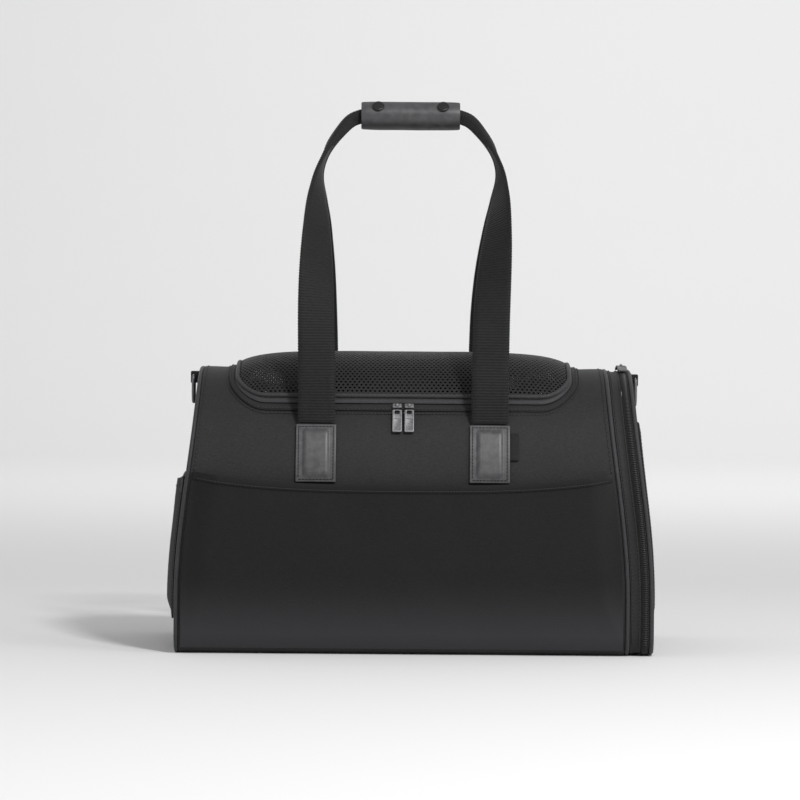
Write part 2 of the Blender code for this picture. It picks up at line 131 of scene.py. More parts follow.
def clearSelection():
    if bpy.context.object and bpy.context.object.mode != "OBJECT":
        bpy.ops.object.mode_set(mode="OBJECT")
    bpy.ops.object.select_all(action="DESELECT")


def onlySelect(piece):
    clearSelection()
    piece.select_set(True)
    bpy.context.view_layer.objects.active = piece
    return piece


def applyAll(piece):
    onlySelect(piece)
    for step in list(piece.modifiers):
        bpy.ops.object.modifier_apply(modifier=step.name)
    return piece


def settle(piece, degrees=40):
    # place into the mesh, smooth shading with crisp folds
    onlySelect(piece)
    bpy.ops.object.transform_apply(location=True, rotation=True, scale=True)
    bpy.ops.object.shade_smooth_by_angle(angle=math.radians(degrees))
    return piece


def cloth(name, across, along, place):
    # a flat cut of cloth laid on the form; its UV map keeps the cut's own sides
    clearSelection()
    bpy.ops.mesh.primitive_grid_add(x_subdivisions=across, y_subdivisions=along, size=1)
    piece = bpy.context.object
    piece.name = name
    for spot in piece.data.vertices:
        spot.co = Vector(place(spot.co.x + 0.5, spot.co.y + 0.5))
    return piece


def faceAway(piece, outwards):
    total = sum(f.normal.dot(outwards(f.center)) * f.area for f in piece.data.polygons)
    if total < 0:
        piece.data.flip_normals()
    return piece


def always(x, y, z):
    # the same direction at every place
    return lambda spot: Vector((x, y, z))


def softEdges(piece, width):
    edge = piece.modifiers.new("edge", "BEVEL")
    edge.width = width
    edge.segments = 2
    edge.limit_method = "ANGLE"
    edge.angle_limit = math.radians(50)


def giveWall(piece, wall, offset=-1.0, rim=0.0):
    thick = piece.modifiers.new("wall", "SOLIDIFY")
    thick.thickness = wall
    thick.offset = offset
    if rim:
        softEdges(piece, rim)
    return applyAll(piece)


def weld(piece, apart, turnOut=True):
    # merge the points that meet, then turn every face outwards
    onlySelect(piece)
    bpy.ops.object.mode_set(mode="EDIT")
    bpy.ops.mesh.select_all(action="SELECT")
    bpy.ops.mesh.remove_doubles(threshold=apart)
    if turnOut:
        bpy.ops.mesh.normals_make_consistent(inside=False)
    bpy.ops.object.mode_set(mode="OBJECT")


def lift(piece, distance):
    moves = [v.normal.copy() * distance for v in piece.data.vertices]
    for spot, move in zip(piece.data.vertices, moves):
        spot.co += move
    return piece


def bar(name, size, middle=(0, 0, 0), bevel=0.0, segments=2):
    clearSelection()
    bpy.ops.mesh.primitive_cube_add(size=1, location=middle)
    piece = bpy.context.object
    piece.name = name
    piece.scale = size
    bpy.ops.object.transform_apply(location=False, rotation=False, scale=True)
    if bevel:
        bpy.ops.object.mode_set(mode="EDIT")
        bpy.ops.mesh.select_all(action="SELECT")
        bpy.ops.mesh.bevel(offset=bevel, segments=segments, affect="EDGES")
        bpy.ops.object.mode_set(mode="OBJECT")
    return piece


def roundUprights(piece, corner, tall, segments):
    # bevel the edges that stand upright, those taller than half of tall
    bpy.ops.object.mode_set(mode="EDIT")
    bpy.ops.mesh.select_all(action="DESELECT")
    shape = bmesh.from_edit_mesh(piece.data)
    for edge in shape.edges:
        if abs(edge.verts[0].co.z - edge.verts[1].co.z) > tall / 2:
            edge.select_set(True)
    bmesh.update_edit_mesh(piece.data)
    bpy.ops.mesh.bevel(offset=corner, segments=segments, affect="EDGES")
    bpy.ops.object.mode_set(mode="OBJECT")


def uprightCutter(halfX, halfY, corner, low, high):
    # a rounded post that cuts a hole seen from above
    tool = bar("cutter", (2 * halfX, 2 * halfY, high - low), (0, 0, (low + high) / 2))
    bpy.ops.object.transform_apply(location=True, rotation=False, scale=False)
    roundUprights(tool, corner, high - low, 10)
    return tool


def cutWith(piece, tool, how="DIFFERENCE"):
    step = piece.modifiers.new("cut", "BOOLEAN")
    step.operation = how
    step.object = tool
    applyAll(piece)
    bpy.data.objects.remove(tool)
    return piece


def frameAt(spot, along, normal):
    # where a small piece goes: its X along, its Z out of the surface
    x = Vector(along).normalized()
    y = Vector(normal).cross(x).normalized()
    turn = Matrix((x, y, x.cross(y))).transposed().to_4x4()
    return Matrix.Translation(spot) @ turn


def repeat(name, model, places):
    # copies of one small model, made into one piece
    points = np.array([v.co for v in model.data.vertices])
    faces = [tuple(f.vertices) for f in model.data.polygons]
    allPoints, allFaces = [], []
    for index, place in enumerate(places):
        turn = np.array(place)
        allPoints.append(points @ turn[:3, :3].T + turn[:3, 3])
        allFaces += [tuple(i + index * len(points) for i in face) for face in faces]
    mesh = bpy.data.meshes.new(name)
    mesh.from_pydata(np.concatenate(allPoints).tolist(), [], allFaces)
    piece = bpy.data.objects.new(name, mesh)
    bpy.context.scene.collection.objects.link(piece)
    bpy.data.objects.remove(model)
    return settle(piece, 60)


def walk(points, pitch, start=0.5):
    # even steps along a line of points: gives (place, direction)
    line = np.array(points)
    spans = np.linalg.norm(np.diff(line, axis=0), axis=1)
    reach = np.concatenate([[0], np.cumsum(spans)])
    count = int(reach[-1] / pitch)
    for step in range(count):
        at = (step + start) * reach[-1] / count
        here = min(int(np.searchsorted(reach, at, side="right")) - 1, len(spans) - 1)
        share = (at - reach[here]) / spans[here]
        spot = line[here] + (line[here + 1] - line[here]) * share
        yield Vector(spot), Vector(line[here + 1] - line[here]).normalized()


def stitches(name, points, normalOf, body, pitch=0.0034, thread=0.00055):
    # a run of lockstitch: short threads that dive at each end
    clearSelection()
    bpy.ops.mesh.primitive_cylinder_add(vertices=6, radius=thread, depth=pitch * 0.74,
                                        end_fill_type="TRIFAN")
    model = bpy.context.object
    model.data.transform(Matrix.Rotation(math.pi / 2, 4, "Y"))
    for spot in model.data.vertices:
        if abs(spot.co.y) + abs(spot.co.z) < 1e-6:
            spot.co.x *= 1.18
        spot.co.z *= 0.8
    places = [frameAt(spot + normalOf(spot) * thread * 0.35, way, normalOf(spot))
              for spot, way in walk(points, pitch)]
    return dress(repeat(name, model, places), "thread", body, "zip_tape")


def tube(name, points, radius, loop=True, sides=3):
    # a round bead along the points
    line = bpy.data.curves.new(name, "CURVE")
    line.dimensions = "3D"
    line.bevel_depth = radius
    line.bevel_resolution = sides
    line.use_fill_caps = not loop
    spline = line.splines.new("POLY")
    spline.points.add(len(points) - 1)
    for spot, point in zip(spline.points, points):
        spot.co = (*point, 1)
    spline.use_cyclic_u = loop
    piece = bpy.data.objects.new(name, line)
    bpy.context.scene.collection.objects.link(piece)
    onlySelect(piece)
    bpy.ops.object.convert(target="MESH")
    piece = bpy.context.object
    weld(piece, 0.00001)
    return settle(piece, 60)


def toLinear(code):
    # an sRGB hex code as linear light
    values = [int(code[i:i + 2], 16) / 255 for i in (1, 3, 5)]
    return [v / 12.92 if v <= 0.04045 else ((v + 0.055) / 1.055) ** 2.4 for v in values] + [1]


def addNode(tree, kind, settings=None, links=None):
    # one node with its settings and what feeds it
    made = tree.nodes.new(kind)
    for key, value in (settings or {}).items():
        if isinstance(key, str) and hasattr(made, key):
            setattr(made, key, value)
        else:
            made.inputs[key].default_value = value
    for key, source in (links or {}).items():
        tree.links.new(source, made.inputs[key])
    return made


materials = {}


def startMaterial(name, code, roughness, **more):
    made = bpy.data.materials.new(name)
    made.use_nodes = True
    tree = made.node_tree
    shader = tree.nodes["Principled BSDF"]
    shader.inputs["Base Color"].default_value = toLinear(code)
    shader.inputs["Roughness"].default_value = roughness
    for key, value in more.items():
        shader.inputs[key.replace("_", " ")].default_value = value
    materials[name] = made
    return tree, shader


def colourBetween(tree, shader, factor, dark, light, low=0.35, high=0.65):
    ramp = addNode(tree, "ShaderNodeValToRGB", {}, {"Fac": factor})
    ramp.color_ramp.elements[0].position = low
    ramp.color_ramp.elements[0].color = toLinear(dark)
    ramp.color_ramp.elements[1].position = high
    ramp.color_ramp.elements[1].color = toLinear(light)
    tree.links.new(ramp.outputs["Color"], shader.inputs["Base Color"])
    return ramp


def wovenMaterial(name, dark, light, roughness, size, thread, depth, sheen=0.06, shine=0.22,
                  paintedBounce=None):
    # cloth from crossed threads: size is the cut in metres, thread the drawn spacing
    tree, shader = startMaterial(name, dark, roughness, Sheen_Weight=sheen,
                                 Sheen_Roughness=0.45, Specular_IOR_Level=shine)
    where = addNode(tree, "ShaderNodeTexCoord")
    wave = []
    for turn in (0, 1):
        stretch = [1 / (thread * 3.2), 1 / (thread * 3.2), 1 / (thread * 3.2)]
        stretch[turn] = 1 / thread
        stretch[2] = 1 / thread if turn else 1 / (thread * 1.6)
        mapped = addNode(tree, "ShaderNodeMapping", {"Scale": stretch},
                         {"Vector": where.outputs["Object"]})
        wave.append(addNode(tree, "ShaderNodeTexNoise", {"Scale": 1.0, "Detail": 2.0},
                            {"Vector": mapped.outputs["Vector"]}))
    both = addNode(tree, "ShaderNodeMath", {"operation": "ADD"},
                   {0: wave[0].outputs["Fac"], 1: wave[1].outputs["Fac"]})
    half = addNode(tree, "ShaderNodeMath", {"operation": "MULTIPLY", 1: 0.5},
                   {0: both.outputs["Value"]})
    cloud = addNode(tree, "ShaderNodeTexNoise", {"Scale": 1 / size, "Detail": 3.0},
                    {"Vector": where.outputs["Object"]})
    mixed = addNode(tree, "ShaderNodeMath", {"operation": "MULTIPLY_ADD", 1: 0.22},
                    {0: cloud.outputs["Fac"], 2: half.outputs["Value"]})
    ramp = colourBetween(tree, shader, mixed.outputs["Value"], dark, light, 0.42, 0.80)
    if paintedBounce:
        # painted light: the foot of the cloth is painted paler towards the ground, standing in
        # for light bounced up from the white floor
        parts = addNode(tree, "ShaderNodeSeparateXYZ", {}, {"Vector": where.outputs["Object"]})
        bounceMask = addNode(tree, "ShaderNodeMapRange",
                       {"interpolation_type": "SMOOTHSTEP", "From Min": 0.075, "From Max": 0.002,
                        "To Min": 0.0, "To Max": 0.85}, {"Value": parts.outputs["Z"]})
        paler = addNode(tree, "ShaderNodeMixRGB", {"Color2": toLinear(paintedBounce)},
                        {"Fac": bounceMask.outputs["Result"], "Color1": ramp.outputs["Color"]})
        tree.links.new(paler.outputs["Color"], shader.inputs["Base Color"])
    bump = addNode(tree, "ShaderNodeBump", {"Strength": 0.55, "Distance": depth},
                   {"Height": half.outputs["Value"]})
    tree.links.new(bump.outputs["Normal"], shader.inputs["Normal"])


def makeMaterials():
    # ballistic nylon, woven: matt, fine broken threads, slightly cloudy
    wovenMaterial("ballisticNylon", "#1c1c1d", "#29292a", 0.66, 0.05, 0.0011, 0.0004, 0.08, 0.25)
    # the pocket is the same nylon in a darker dye lot
    # its foot gets a painted pale band, a painted stand-in for light bounced up from the floor
    wovenMaterial("darkNylon", "#0d0d0e", "#151516", 0.60, 0.05, 0.0011, 0.0004, 0.10, 0.24,
                  paintedBounce="#37373a")
    # nylon lining, woven: plain and a little lighter inside
    wovenMaterial("liningNylon", "#2a2a2b", "#363637", 0.80, 0.05, 0.0014, 0.0003)
    # grosgrain tape, woven: cross ribs too fine to see, so drawn at 1.6 mm
    wovenMaterial("grosgrain", "#19191a", "#252526", 0.78, 0.03, 0.0016, 0.0005)
    # nylon piping over cord, woven: the same cloth pulled tight, with a little more sheen; its
    # colour is painted lighter than the nylon, a painted highlight for the light the round bead
    # catches
    wovenMaterial("pipingNylon", "#2e2e30", "#3d3d3f", 0.58, 0.03, 0.0011, 0.0003, 0.12)
    # polyester webbing, woven: ribs are real geometry, the threads only a bump
    wovenMaterial("polyesterWebbing", "#121213", "#202021", 0.66, 0.03, 0.0012, 0.0006, 0.12)
    # knitted polyester mesh, heat set: soft satin yarn
    wovenMaterial("knittedMesh", "#171718", "#262627", 0.55, 0.03, 0.0016, 0.0003, 0.10)
    # polyester fleece, brushed: deep soft pile with cloudy light and dark
    wovenMaterial("brushedFleece", "#56565a", "#6c6c70", 0.95, 0.012, 0.0024, 0.0014, 0.8)

    # bonded polyester thread, twisted: small satin glints
    startMaterial("thread", "#1d1d1e", 0.5)
    # acetal zip coil, moulded: dark and smooth with sharp small glints
    startMaterial("acetalCoil", "#1c1c1d", 0.38)

    # full grain leather, finished: fine pebble, even satin sheen
    tree, shader = startMaterial("finishedLeather", "#424244", 0.42, IOR=1.5)
    where = addNode(tree, "ShaderNodeTexCoord")
    pebble = addNode(tree, "ShaderNodeTexVoronoi", {"Scale": 1 / 0.0012},
                     {"Vector": where.outputs["Object"]})
    crease = addNode(tree, "ShaderNodeTexNoise", {"Scale": 1 / 0.006, "Detail": 5.0},
                     {"Vector": where.outputs["Object"]})
    colourBetween(tree, shader, crease.outputs["Fac"], "#3c3c3e", "#4a4a4c")
    total = addNode(tree, "ShaderNodeMath", {"operation": "MULTIPLY_ADD", 1: 0.35},
                    {0: pebble.outputs["Distance"], 2: crease.outputs["Fac"]})
    bump = addNode(tree, "ShaderNodeBump", {"Strength": 0.30, "Distance": 0.0003},
                   {"Height": total.outputs["Value"]})
    tree.links.new(bump.outputs["Normal"], shader.inputs["Normal"])
    shine = addNode(tree, "ShaderNodeMapRange", {"To Min": 0.34, "To Max": 0.50},
                    {"Value": crease.outputs["Fac"]})
    tree.links.new(shine.outputs["Result"], shader.inputs["Roughness"])

    # die-cast zinc with gunmetal plating, tumbled: satin with faint scuffs
    tree, shader = startMaterial("gunmetalZinc", "#78787a", 0.5, Metallic=0.8)
    where = addNode(tree, "ShaderNodeTexCoord")
    scuff = addNode(tree, "ShaderNodeTexNoise", {"Scale": 1 / 0.0015, "Detail": 6.0},
                    {"Vector": where.outputs["Object"]})
    colourBetween(tree, shader, scuff.outputs["Fac"], "#6c6c6e", "#828284")
    shine = addNode(tree, "ShaderNodeMapRange", {"To Min": 0.44, "To Max": 0.58},
                    {"Value": scuff.outputs["Fac"]})
    tree.links.new(shine.outputs["Result"], shader.inputs["Roughness"])

    # black zinc for snap caps, lacquered: darker, with a soft gloss
    startMaterial("blackZinc", "#3a3a3c", 0.32, Metallic=0.8)
    # polypropylene board, extruded: dull and faintly streaked along its length
    tree, shader = startMaterial("polypropyleneBoard", "#2c2c2d", 0.6)
    where = addNode(tree, "ShaderNodeTexCoord")
    mapped = addNode(tree, "ShaderNodeMapping", {"Scale": (20, 400, 400)},
                     {"Vector": where.outputs["Object"]})
    streak = addNode(tree, "ShaderNodeTexNoise", {"Scale": 1.0},
                     {"Vector": mapped.outputs["Vector"]})
    colourBetween(tree, shader, streak.outputs["Fac"], "#28282a", "#323234")


def dress(piece, finish, body, slot, *nodes):
    # material, the body it rides on and the frame nodes it stands for
    piece.data.materials.clear()
    piece.data.materials.append(materials[finish])
    if body:
        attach(piece, body)
    if nodes:
        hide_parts(*nodes)
    return piece


makeMaterials()
print("materials:", len(materials))


shell = {"wall": 0.0022, "sag": 0.0009, "rows": 150, "columns": 150}


def awayFromAxis(centre):
    return Vector((0, centre.y, centre.z - 0.12))


def wrapCloth(name, wLow, wHigh, left, right, cells, wall, inset=0.0, liftBy=0.0, sag=0.0):
    # a strip of cloth round the section, between left(z) and right(z)
    def place(u, v):
        w = wLow + (wHigh - wLow) * u
        y, z = around(w, inset)
        x = left(z) + (right(z) - left(z)) * v
        edge = min(v, 1 - v) * (right(z) - left(z))
        near = smooth(edge / 0.030) * smooth(min(u, 1 - u) * (wHigh - wLow) / 0.2)
        slack = sag * near * (0.5 + 0.5 * ripple((x, y, z), 0.085, 3.1))
        slack += sag * 0.30 * near * (0.5 + 0.5 * ripple((x, y, z), 0.028, 7.7))
        pucker = sag * 0.35 * math.exp(-edge / 0.010) * (0.5 + 0.5 * math.sin(w * 190))
        out = Vector((0, y, (z - section["bend"]) if z > section["bend"] else 0)).normalized()
        if z < section["corner"]:
            out = Vector((0, y, -abs(y))).normalized()
        return Vector((x, y, z)) - out * (slack + pucker)

    piece = cloth(name, cells[0], cells[1], place)
    if wHigh - wLow == 6:
        weld(piece, 0.00002, False)
    faceAway(piece, awayFromAxis)
    if liftBy:
        lift(piece, liftBy)
    return giveWall(piece, wall, 1.0 if liftBy else -1.0)


def sectionLine(x, wLow, wHigh, count, inset=0.0):
    line = []
    for step in range(count + 1):
        y, z = around(wLow + (wHigh - wLow) * step / count, inset)
        line.append(Vector((x(z), y, z)))
    return line


def sectionNormal(spot):
    # out of the wall at a place on it
    if spot.z > section["bend"]:
        step = 0.0004
        slope = (wallDepth(spot.z - step) - wallDepth(spot.z + step)) / (2 * step)
        side = 1 if spot.y > 0 else -1
        return Vector((0, side, slope)).normalized()
    if spot.z < section["corner"]:
        middle = section["side"] - section["corner"]
        side = 1 if spot.y > 0 else -1
        if abs(spot.y) < middle:
            return Vector((0, 0, -1))
        return Vector((0, spot.y - side * middle, spot.z - section["corner"])).normalized()
    return Vector((0, 1 if spot.y > 0 else -1, 0))


def makeShell():
    left = lambda z: -halfLength(z)
    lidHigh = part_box("lid_zip_tape")[1]
    main = wrapCloth("shellCloth", 1.5, 4.0, left, halfLength,
                     (shell["rows"], shell["columns"]), shell["wall"], sag=shell["sag"])
    hole = uprightCutter(lidHigh.x - 0.0035, lidHigh.y - 0.0035, 0.0255, 0.17, 0.34)
    cutWith(main, hole)
    dress(settle(main), "ballisticNylon", "carrier", "nylon", "main_panel")

    back = wrapCloth("backCloth", 4.0, 4.5, left, halfLength, (14, 90), shell["wall"], sag=0.0005)
    dress(settle(back), "ballisticNylon", "carrier", "nylon", "back_panel")
    base = wrapCloth("baseCloth", -1.5, 1.5, left, halfLength, (60, 60), shell["wall"], sag=0.0)
    dress(settle(base), "ballisticNylon", "carrier", "nylon", "bottom_panel")

    # two rows of stitching where the back's lower panel is sewn on
    for name, w in (("backSeamUpper", 3.965), ("backSeamLower", 4.035)):
        y, z = around(w)
        run = [Vector((halfLength(z) * (s / 60 - 1) * 0.985, y, z)) for s in range(121)]
        stitches(name, run, sectionNormal, "carrier")
    # lining that closes the joints behind both rows of piping
    for name, side, low, high in (("leftLining", -1, -0.0060, 0.0022),
                                  ("rightLining", 1, -0.0060, 0.0146)):
        band = wrapCloth(name, 0, 6, lambda z: side * (halfLength(z) + low),
                         lambda z: side * (halfLength(z) + high), (150, 3), 0.0008, 0.0042)
        dress(settle(band), "liningNylon", "carrier", "nylon")

    board = bar("baseBoard", (0.395, 0.213, 0.0020), (0, 0, 0.0041), 0.0006)
    dress(settle(board), "polypropyleneBoard", "carrier", "board", "base_board")
    print("shell cloth done")


def makePiping():
    for side, name in ((-1, "left_piping"), (1, "right_piping")):
        points = sectionLine(lambda z: side * (halfLength(z) + 0.0024), 0, 6, 150, 0.0019)[:-1]
        bead = tube(side < 0 and "leftPiping" or "rightPiping", points, 0.0020)
        dress(bead, "pipingNylon", "carrier", "zip_tape", name)
        run = sectionLine(lambda z: side * (halfLength(z) - 0.0028), 1.5, 4.5, 220)
        stitches(side < 0 and "leftSeamStitches" or "rightSeamStitches", run, sectionNormal,
                 "carrier", 0.0040, 0.00045)
    print("piping done")


def makeTab(name, node, body, bevel):
    # a folded tape tab, as large as the frame has it
    low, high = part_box(node)
    tab = bar(name, high - low, (low + high) / 2, bevel)
    dress(settle(tab), "grosgrain", body, "zip_tape", node)


leftEnd = {
    "inset": 0.0046, "wall": 0.0022,
    # the slip pocket: low, high and half width, how it stands off, and its wall
    "pocket": (0.030, 0.160, 0.095), "face": 0.0054, "room": 0.0068, "pocketWall": 0.0020,
}


def makeLeftEnd():
    def endPlace(u, v):
        y, z = rising(1.0 + 1.93 * v, leftEnd["inset"])
        y *= 2 * u - 1
        swell = math.cos(min(abs(y) / section["side"], 1) * math.pi / 2)
        x = halfLength(z) + 0.0005 + 0.0015 * swell
        return -x - 0.0004 * ripple((0, y, z), 0.05, 1.3), y, z

    end = cloth("leftEndCloth", 50, 70, endPlace)
    faceAway(end, always(-1, 0, 0))
    giveWall(end, leftEnd["wall"], 1.0)
    dress(settle(end), "ballisticNylon", "carrier", "nylon", "left_end_panel")

    low, high, wide = leftEnd["pocket"]

    def slipPlace(u, v):
        y = wide * (2 * u - 1)
        z = low + (high - low) * v
        edge = min(smooth((wide - abs(y)) / 0.020), smooth((z - low) / 0.020))
        slack = 0.0008 * edge * (ripple((0, y, z), 0.04, 5.2) - 1)
        dip = 0.0030 * (1 - (2 * u - 1) ** 2) * v ** 6
        return -(halfLength(z) + leftEnd["face"] + leftEnd["room"] * edge + slack), y, z - dip

    slip = cloth("leftPocketCloth", 70, 60, slipPlace)
    faceAway(slip, always(-1, 0, 0))
    giveWall(slip, leftEnd["pocketWall"], 1.0, 0.0004)
    dress(settle(slip), "ballisticNylon", "carrier", "nylon", "left_end_pocket")
    outward = always(-1, 0, 0)
    hem = []
    for step in range(80):
        u = (step + 0.5) / 80
        x, y, z = slipPlace(u, 1 - 0.055)
        hem.append(Vector((x - 0.0021, y, z)))
    stitches("leftPocketStitches", hem[3:-3], outward, "carrier")
    edge = [Vector(slipPlace(0.022, v / 40)) for v in range(36, -1, -1)]
    edge += [Vector(slipPlace(u / 60, 0.03)) for u in range(2, 59)]
    edge += [Vector(slipPlace(0.978, v / 40)) for v in range(0, 37)]
    stitches("leftPocketSeam", [e + Vector((-0.0021, 0, 0)) for e in edge], outward, "carrier")

    makeTab("leftBaseTab", "left_base_tab", "carrier", 0.0004)
    print("left end done")


pocket = {
    "top": 0.1573,      # height of the open edge in the middle
    "rise": 0.0100,     # how much higher its ends are
    "dip": 0.0012,      # slack of the middle
    "room": 0.0052,     # how far the filled pocket stands from the wall
    "wall": 0.0020,
    "low": 1.27,        # where the section starts it, from the base seam
    "tuck": 0.0036,     # how far its foot is drawn in
    "tuckFrom": 0.036,
}


def pocketPlace(u, v):
    # the panel runs from the base seam, round the corner and up to its open edge
    side = 2 * u - 1
    high = pocket["top"] + pocket["rise"] * abs(side) ** 3.2
    high -= pocket["dip"] * math.cos(side * math.pi / 2)
    w = pocket["low"] + (stepOf(high) - pocket["low"]) * v
    y, z = rising(w)
    if v > 0.35:
        z = z + (high - rising(stepOf(high))[1]) * (v - 0.35) / 0.65
    x = side * (halfLength(z) - 0.0018)
    edge = min(smooth((1 - abs(side)) / 0.12), smooth((z - 0.010) / 0.055))
    wall = y + 0.0010 if z < section["bend"] else wallDepth(z) + 0.0012
    proud = section["side"] + pocket["room"]
    depth = wall + (proud - wall) * edge
    near = smooth((1 - abs(side)) / 0.08)
    depth += 0.0007 * near * ripple((x, 0, z), 0.075, 9.4)
    depth += 0.00025 * near * ripple((x, 0, z), 0.022, 2.4)
    depth -= pocket["tuck"] * max((pocket["tuckFrom"] - z) / pocket["tuckFrom"], 0) ** 1.5
    return Vector((x, -depth, max(z, 0.0006)))


def makeFrontPocket():
    panel = cloth("frontPocketCloth", 190, 110, pocketPlace)
    faceAway(panel, always(0, -1, 0))
    giveWall(panel, pocket["wall"], 1.0, 0.0005)
    dress(settle(panel), "darkNylon", "carrier", "pocket_nylon", "front_pocket")

    # the hem: the top edge turned over and stitched down
    def hemPlace(u, v):
        share = 1 - 0.028 * (1 - v)
        crown = 0.0003 + 0.0004 * math.sin(v * math.pi)
        out = Vector((0, -pocket["wall"] - crown, 0.0004 * v))
        return pocketPlace(0.004 + 0.992 * u, share) + out

    hem = cloth("frontPocketHem", 190, 6, hemPlace)
    faceAway(hem, always(0, -1, 0))
    giveWall(hem, 0.0008, 1.0)
    dress(settle(hem), "darkNylon", "carrier", "pocket_nylon")
    run = [pocketPlace(0.012 + 0.976 * s / 160, 0.978) + Vector((0, -0.0034, 0))
           for s in range(161)]
    stitches("pocketHemStitches", run, always(0, -1, 0), "carrier", 0.0026, 0.00038)
    print("front pocket done")


def makeSleeve():
    low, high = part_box("trolley_sleeve")

    def place(u, v):
        x = high.x * (2 * u - 1)
        z = low.z + (high.z - low.z) * v
        edge = smooth((high.x - abs(x)) / 0.014)
        wall = wallDepth(z) + 0.0010
        full = section["side"] + 0.0052
        return x, wall + (full - wall) * edge - 0.0003 * ripple((x, 0, z), 0.04, 4.4), z

    sleeve = cloth("sleeveCloth", 90, 40, place)
    faceAway(sleeve, always(0, 1, 0))
    giveWall(sleeve, 0.0020, 1.0, 0.0004)
    dress(settle(sleeve), "ballisticNylon", "carrier", "nylon", "trolley_sleeve")
    back = always(0, 1, 0)
    for name, v in (("sleeveStitchesLow", 0.06), ("sleeveStitchesHigh", 0.94)):
        run = [Vector(place(0.01 + 0.98 * s / 60, v)) + Vector((0, 0.0021, 0)) for s in range(61)]
        stitches(name, run, back, "carrier")
    for name, u in (("sleeveSeamLeft", 0.018), ("sleeveSeamRight", 0.982)):
        run = [Vector(place(u, s / 40)) + Vector((0, 0.0021, 0)) for s in range(1, 40)]
        stitches(name, run, back, "carrier")
    print("trolley sleeve done")


patch = {"wide": 0.0370, "thick": 0.0016, "pad": 0.0016, "padWide": 0.0245,
         "bottom": 0.1582, "top": 0.2100}


def makePatches():
    for side in ("left", "right"):
        for face in ("front", "back"):
            node = f"strap_patch_{face}_{side}"
            low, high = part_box(node)
            middle = (low.x + high.x) / 2
            way = -1 if face == "front" else 1
            bottom, top = patch["bottom"], patch["top"]

            def place(u, v, raised=True):
                x = middle + patch["wide"] * (u - 0.5)
                z = bottom + (top - bottom) * v
                y = way * wallDepth(z)
                out = sectionNormal(Vector((x, y, z)))
                inner = smooth((patch["padWide"] / 2 - abs(x - middle)) / 0.0030)
                inner *= smooth(min(v, 1 - v) * (top - bottom) / 0.0055 - 0.6)
                height = 0.0010 + (patch["pad"] * inner if raised else 0)
                return Vector((x, y, z)) + out * height

            piece = cloth(f"patch{side.title()}{face.title()}", 44, 60, place)
            faceAway(piece, awayFromAxis)
            giveWall(piece, patch["thick"], 1.0, 0.0005)
            dress(settle(piece, 50), "finishedLeather", "carrier", "black_leather", node)
            ring = []
            inX, inZ = 0.068, 0.045
            corners = ((inX, inZ), (1 - inX, inZ), (1 - inX, 1 - inZ), (inX, 1 - inZ), (inX, inZ))
            for (u0, v0), (u1, v1) in zip(corners, corners[1:]):
                for step in range(24):
                    share = step / 24
                    spot = place(u0 + (u1 - u0) * share, v0 + (v1 - v0) * share, False)
                    ring.append(spot + sectionNormal(spot) * patch["thick"])
            stitches(f"patchStitches{side.title()}{face.title()}", ring, sectionNormal,
                     "carrier", 0.0032, 0.0005)
    low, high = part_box("side_tag")

    def tagPlace(u, v):
        z = low.z + 0.001 + (high.z - low.z - 0.002) * v
        y = -wallDepth(z)
        return Vector((low.x + (high.x - low.x) * u, y, z)) + sectionNormal(
            Vector((0, y, z))) * (0.0008 + 0.0004 * math.sin(u * 3))

    tag = cloth("sideTag", 8, 20, tagPlace)
    faceAway(tag, awayFromAxis)
    giveWall(tag, 0.0009, 1.0)
    dress(settle(tag), "grosgrain", "carrier", "zip_tape", "side_tag")
    print("patches done")


makeShell()
makePiping()
makeLeftEnd()
makeFrontPocket()
makeSleeve()
makePatches()


lid = {"x": 0.1545, "y": 0.0920, "corner": 0.028, "rise": 0.0135, "pitch": 0.0042, "row": 0.0035,
       "strand": 0.0020, "wall": 0.0010, "bead": 0.0020,
       "binding": 0.0041, "around": 260, "tooth": (0.0009, 0.0018, 0.0010), "toothPitch": 0.0016}


def lidHeight(x, y):
    longFall = max(1 - abs(x / (lid["x"] + 0.002)) ** 5, 0) ** 0.6
    deepFall = max(1 - abs(y / (lid["y"] + 0.002)) ** 4, 0) ** 0.6
    return roofHeight(y) + 0.0020 + lid["rise"] * longFall * deepFall


def lidRing(count):
    # even places round the lid's outline in plan, each with its way out
    straightX, straightY = lid["x"] - lid["corner"], lid["y"] - lid["corner"]
    bend = lid["corner"] * math.pi / 2
    parts = []
    for turn, (run, cx, cy) in enumerate(((2 * straightY, 1, 1), (2 * straightX, -1, 1),
                                          (2 * straightY, -1, -1), (2 * straightX, 1, -1))):
        parts.append((turn * math.pi / 2, run, Vector((cx * straightX, cy * straightY))))
    total = sum(run + bend for _, run, _ in parts)
    ring = []
    for step in range(count):
        at = step * total / count
        for start, run, centre in parts:
            way = Vector((math.cos(start), math.sin(start)))
            if at < run:
                along = Vector((-way.y, way.x))
                ring.append((centre + way * lid["corner"] - along * (run - at), way))
                break
            at -= run
            if at < bend:
                angle = start + at / lid["corner"]
                way = Vector((math.cos(angle), math.sin(angle)))
                ring.append((centre + way * lid["corner"], way))
                break
            at -= bend
    return ring


def onRoof(flat, height):
    spot = Vector((flat.x, flat.y, roofHeight(flat.y)))
    return spot + sectionNormal(Vector((flat.x, flat.y or 1e-6, spot.z))) * height


def ringStrip(name, inner, outer, low, bulge, wall, across=4):
    # a band of tape laid round the lid's outline
    ring = lidRing(lid["around"])

    def place(u, v):
        flat, way = ring[int(round(u * lid["around"])) % lid["around"]]
        height = low + bulge * math.sin(math.pi * v) ** 0.6
        return onRoof(flat + way * (inner + (outer - inner) * v), height)

    strip = cloth(name, lid["around"], across, place)
    weld(strip, 0.00002)
    faceAway(strip, awayFromAxis)
    return settle(giveWall(strip, wall, 1.0), 50)


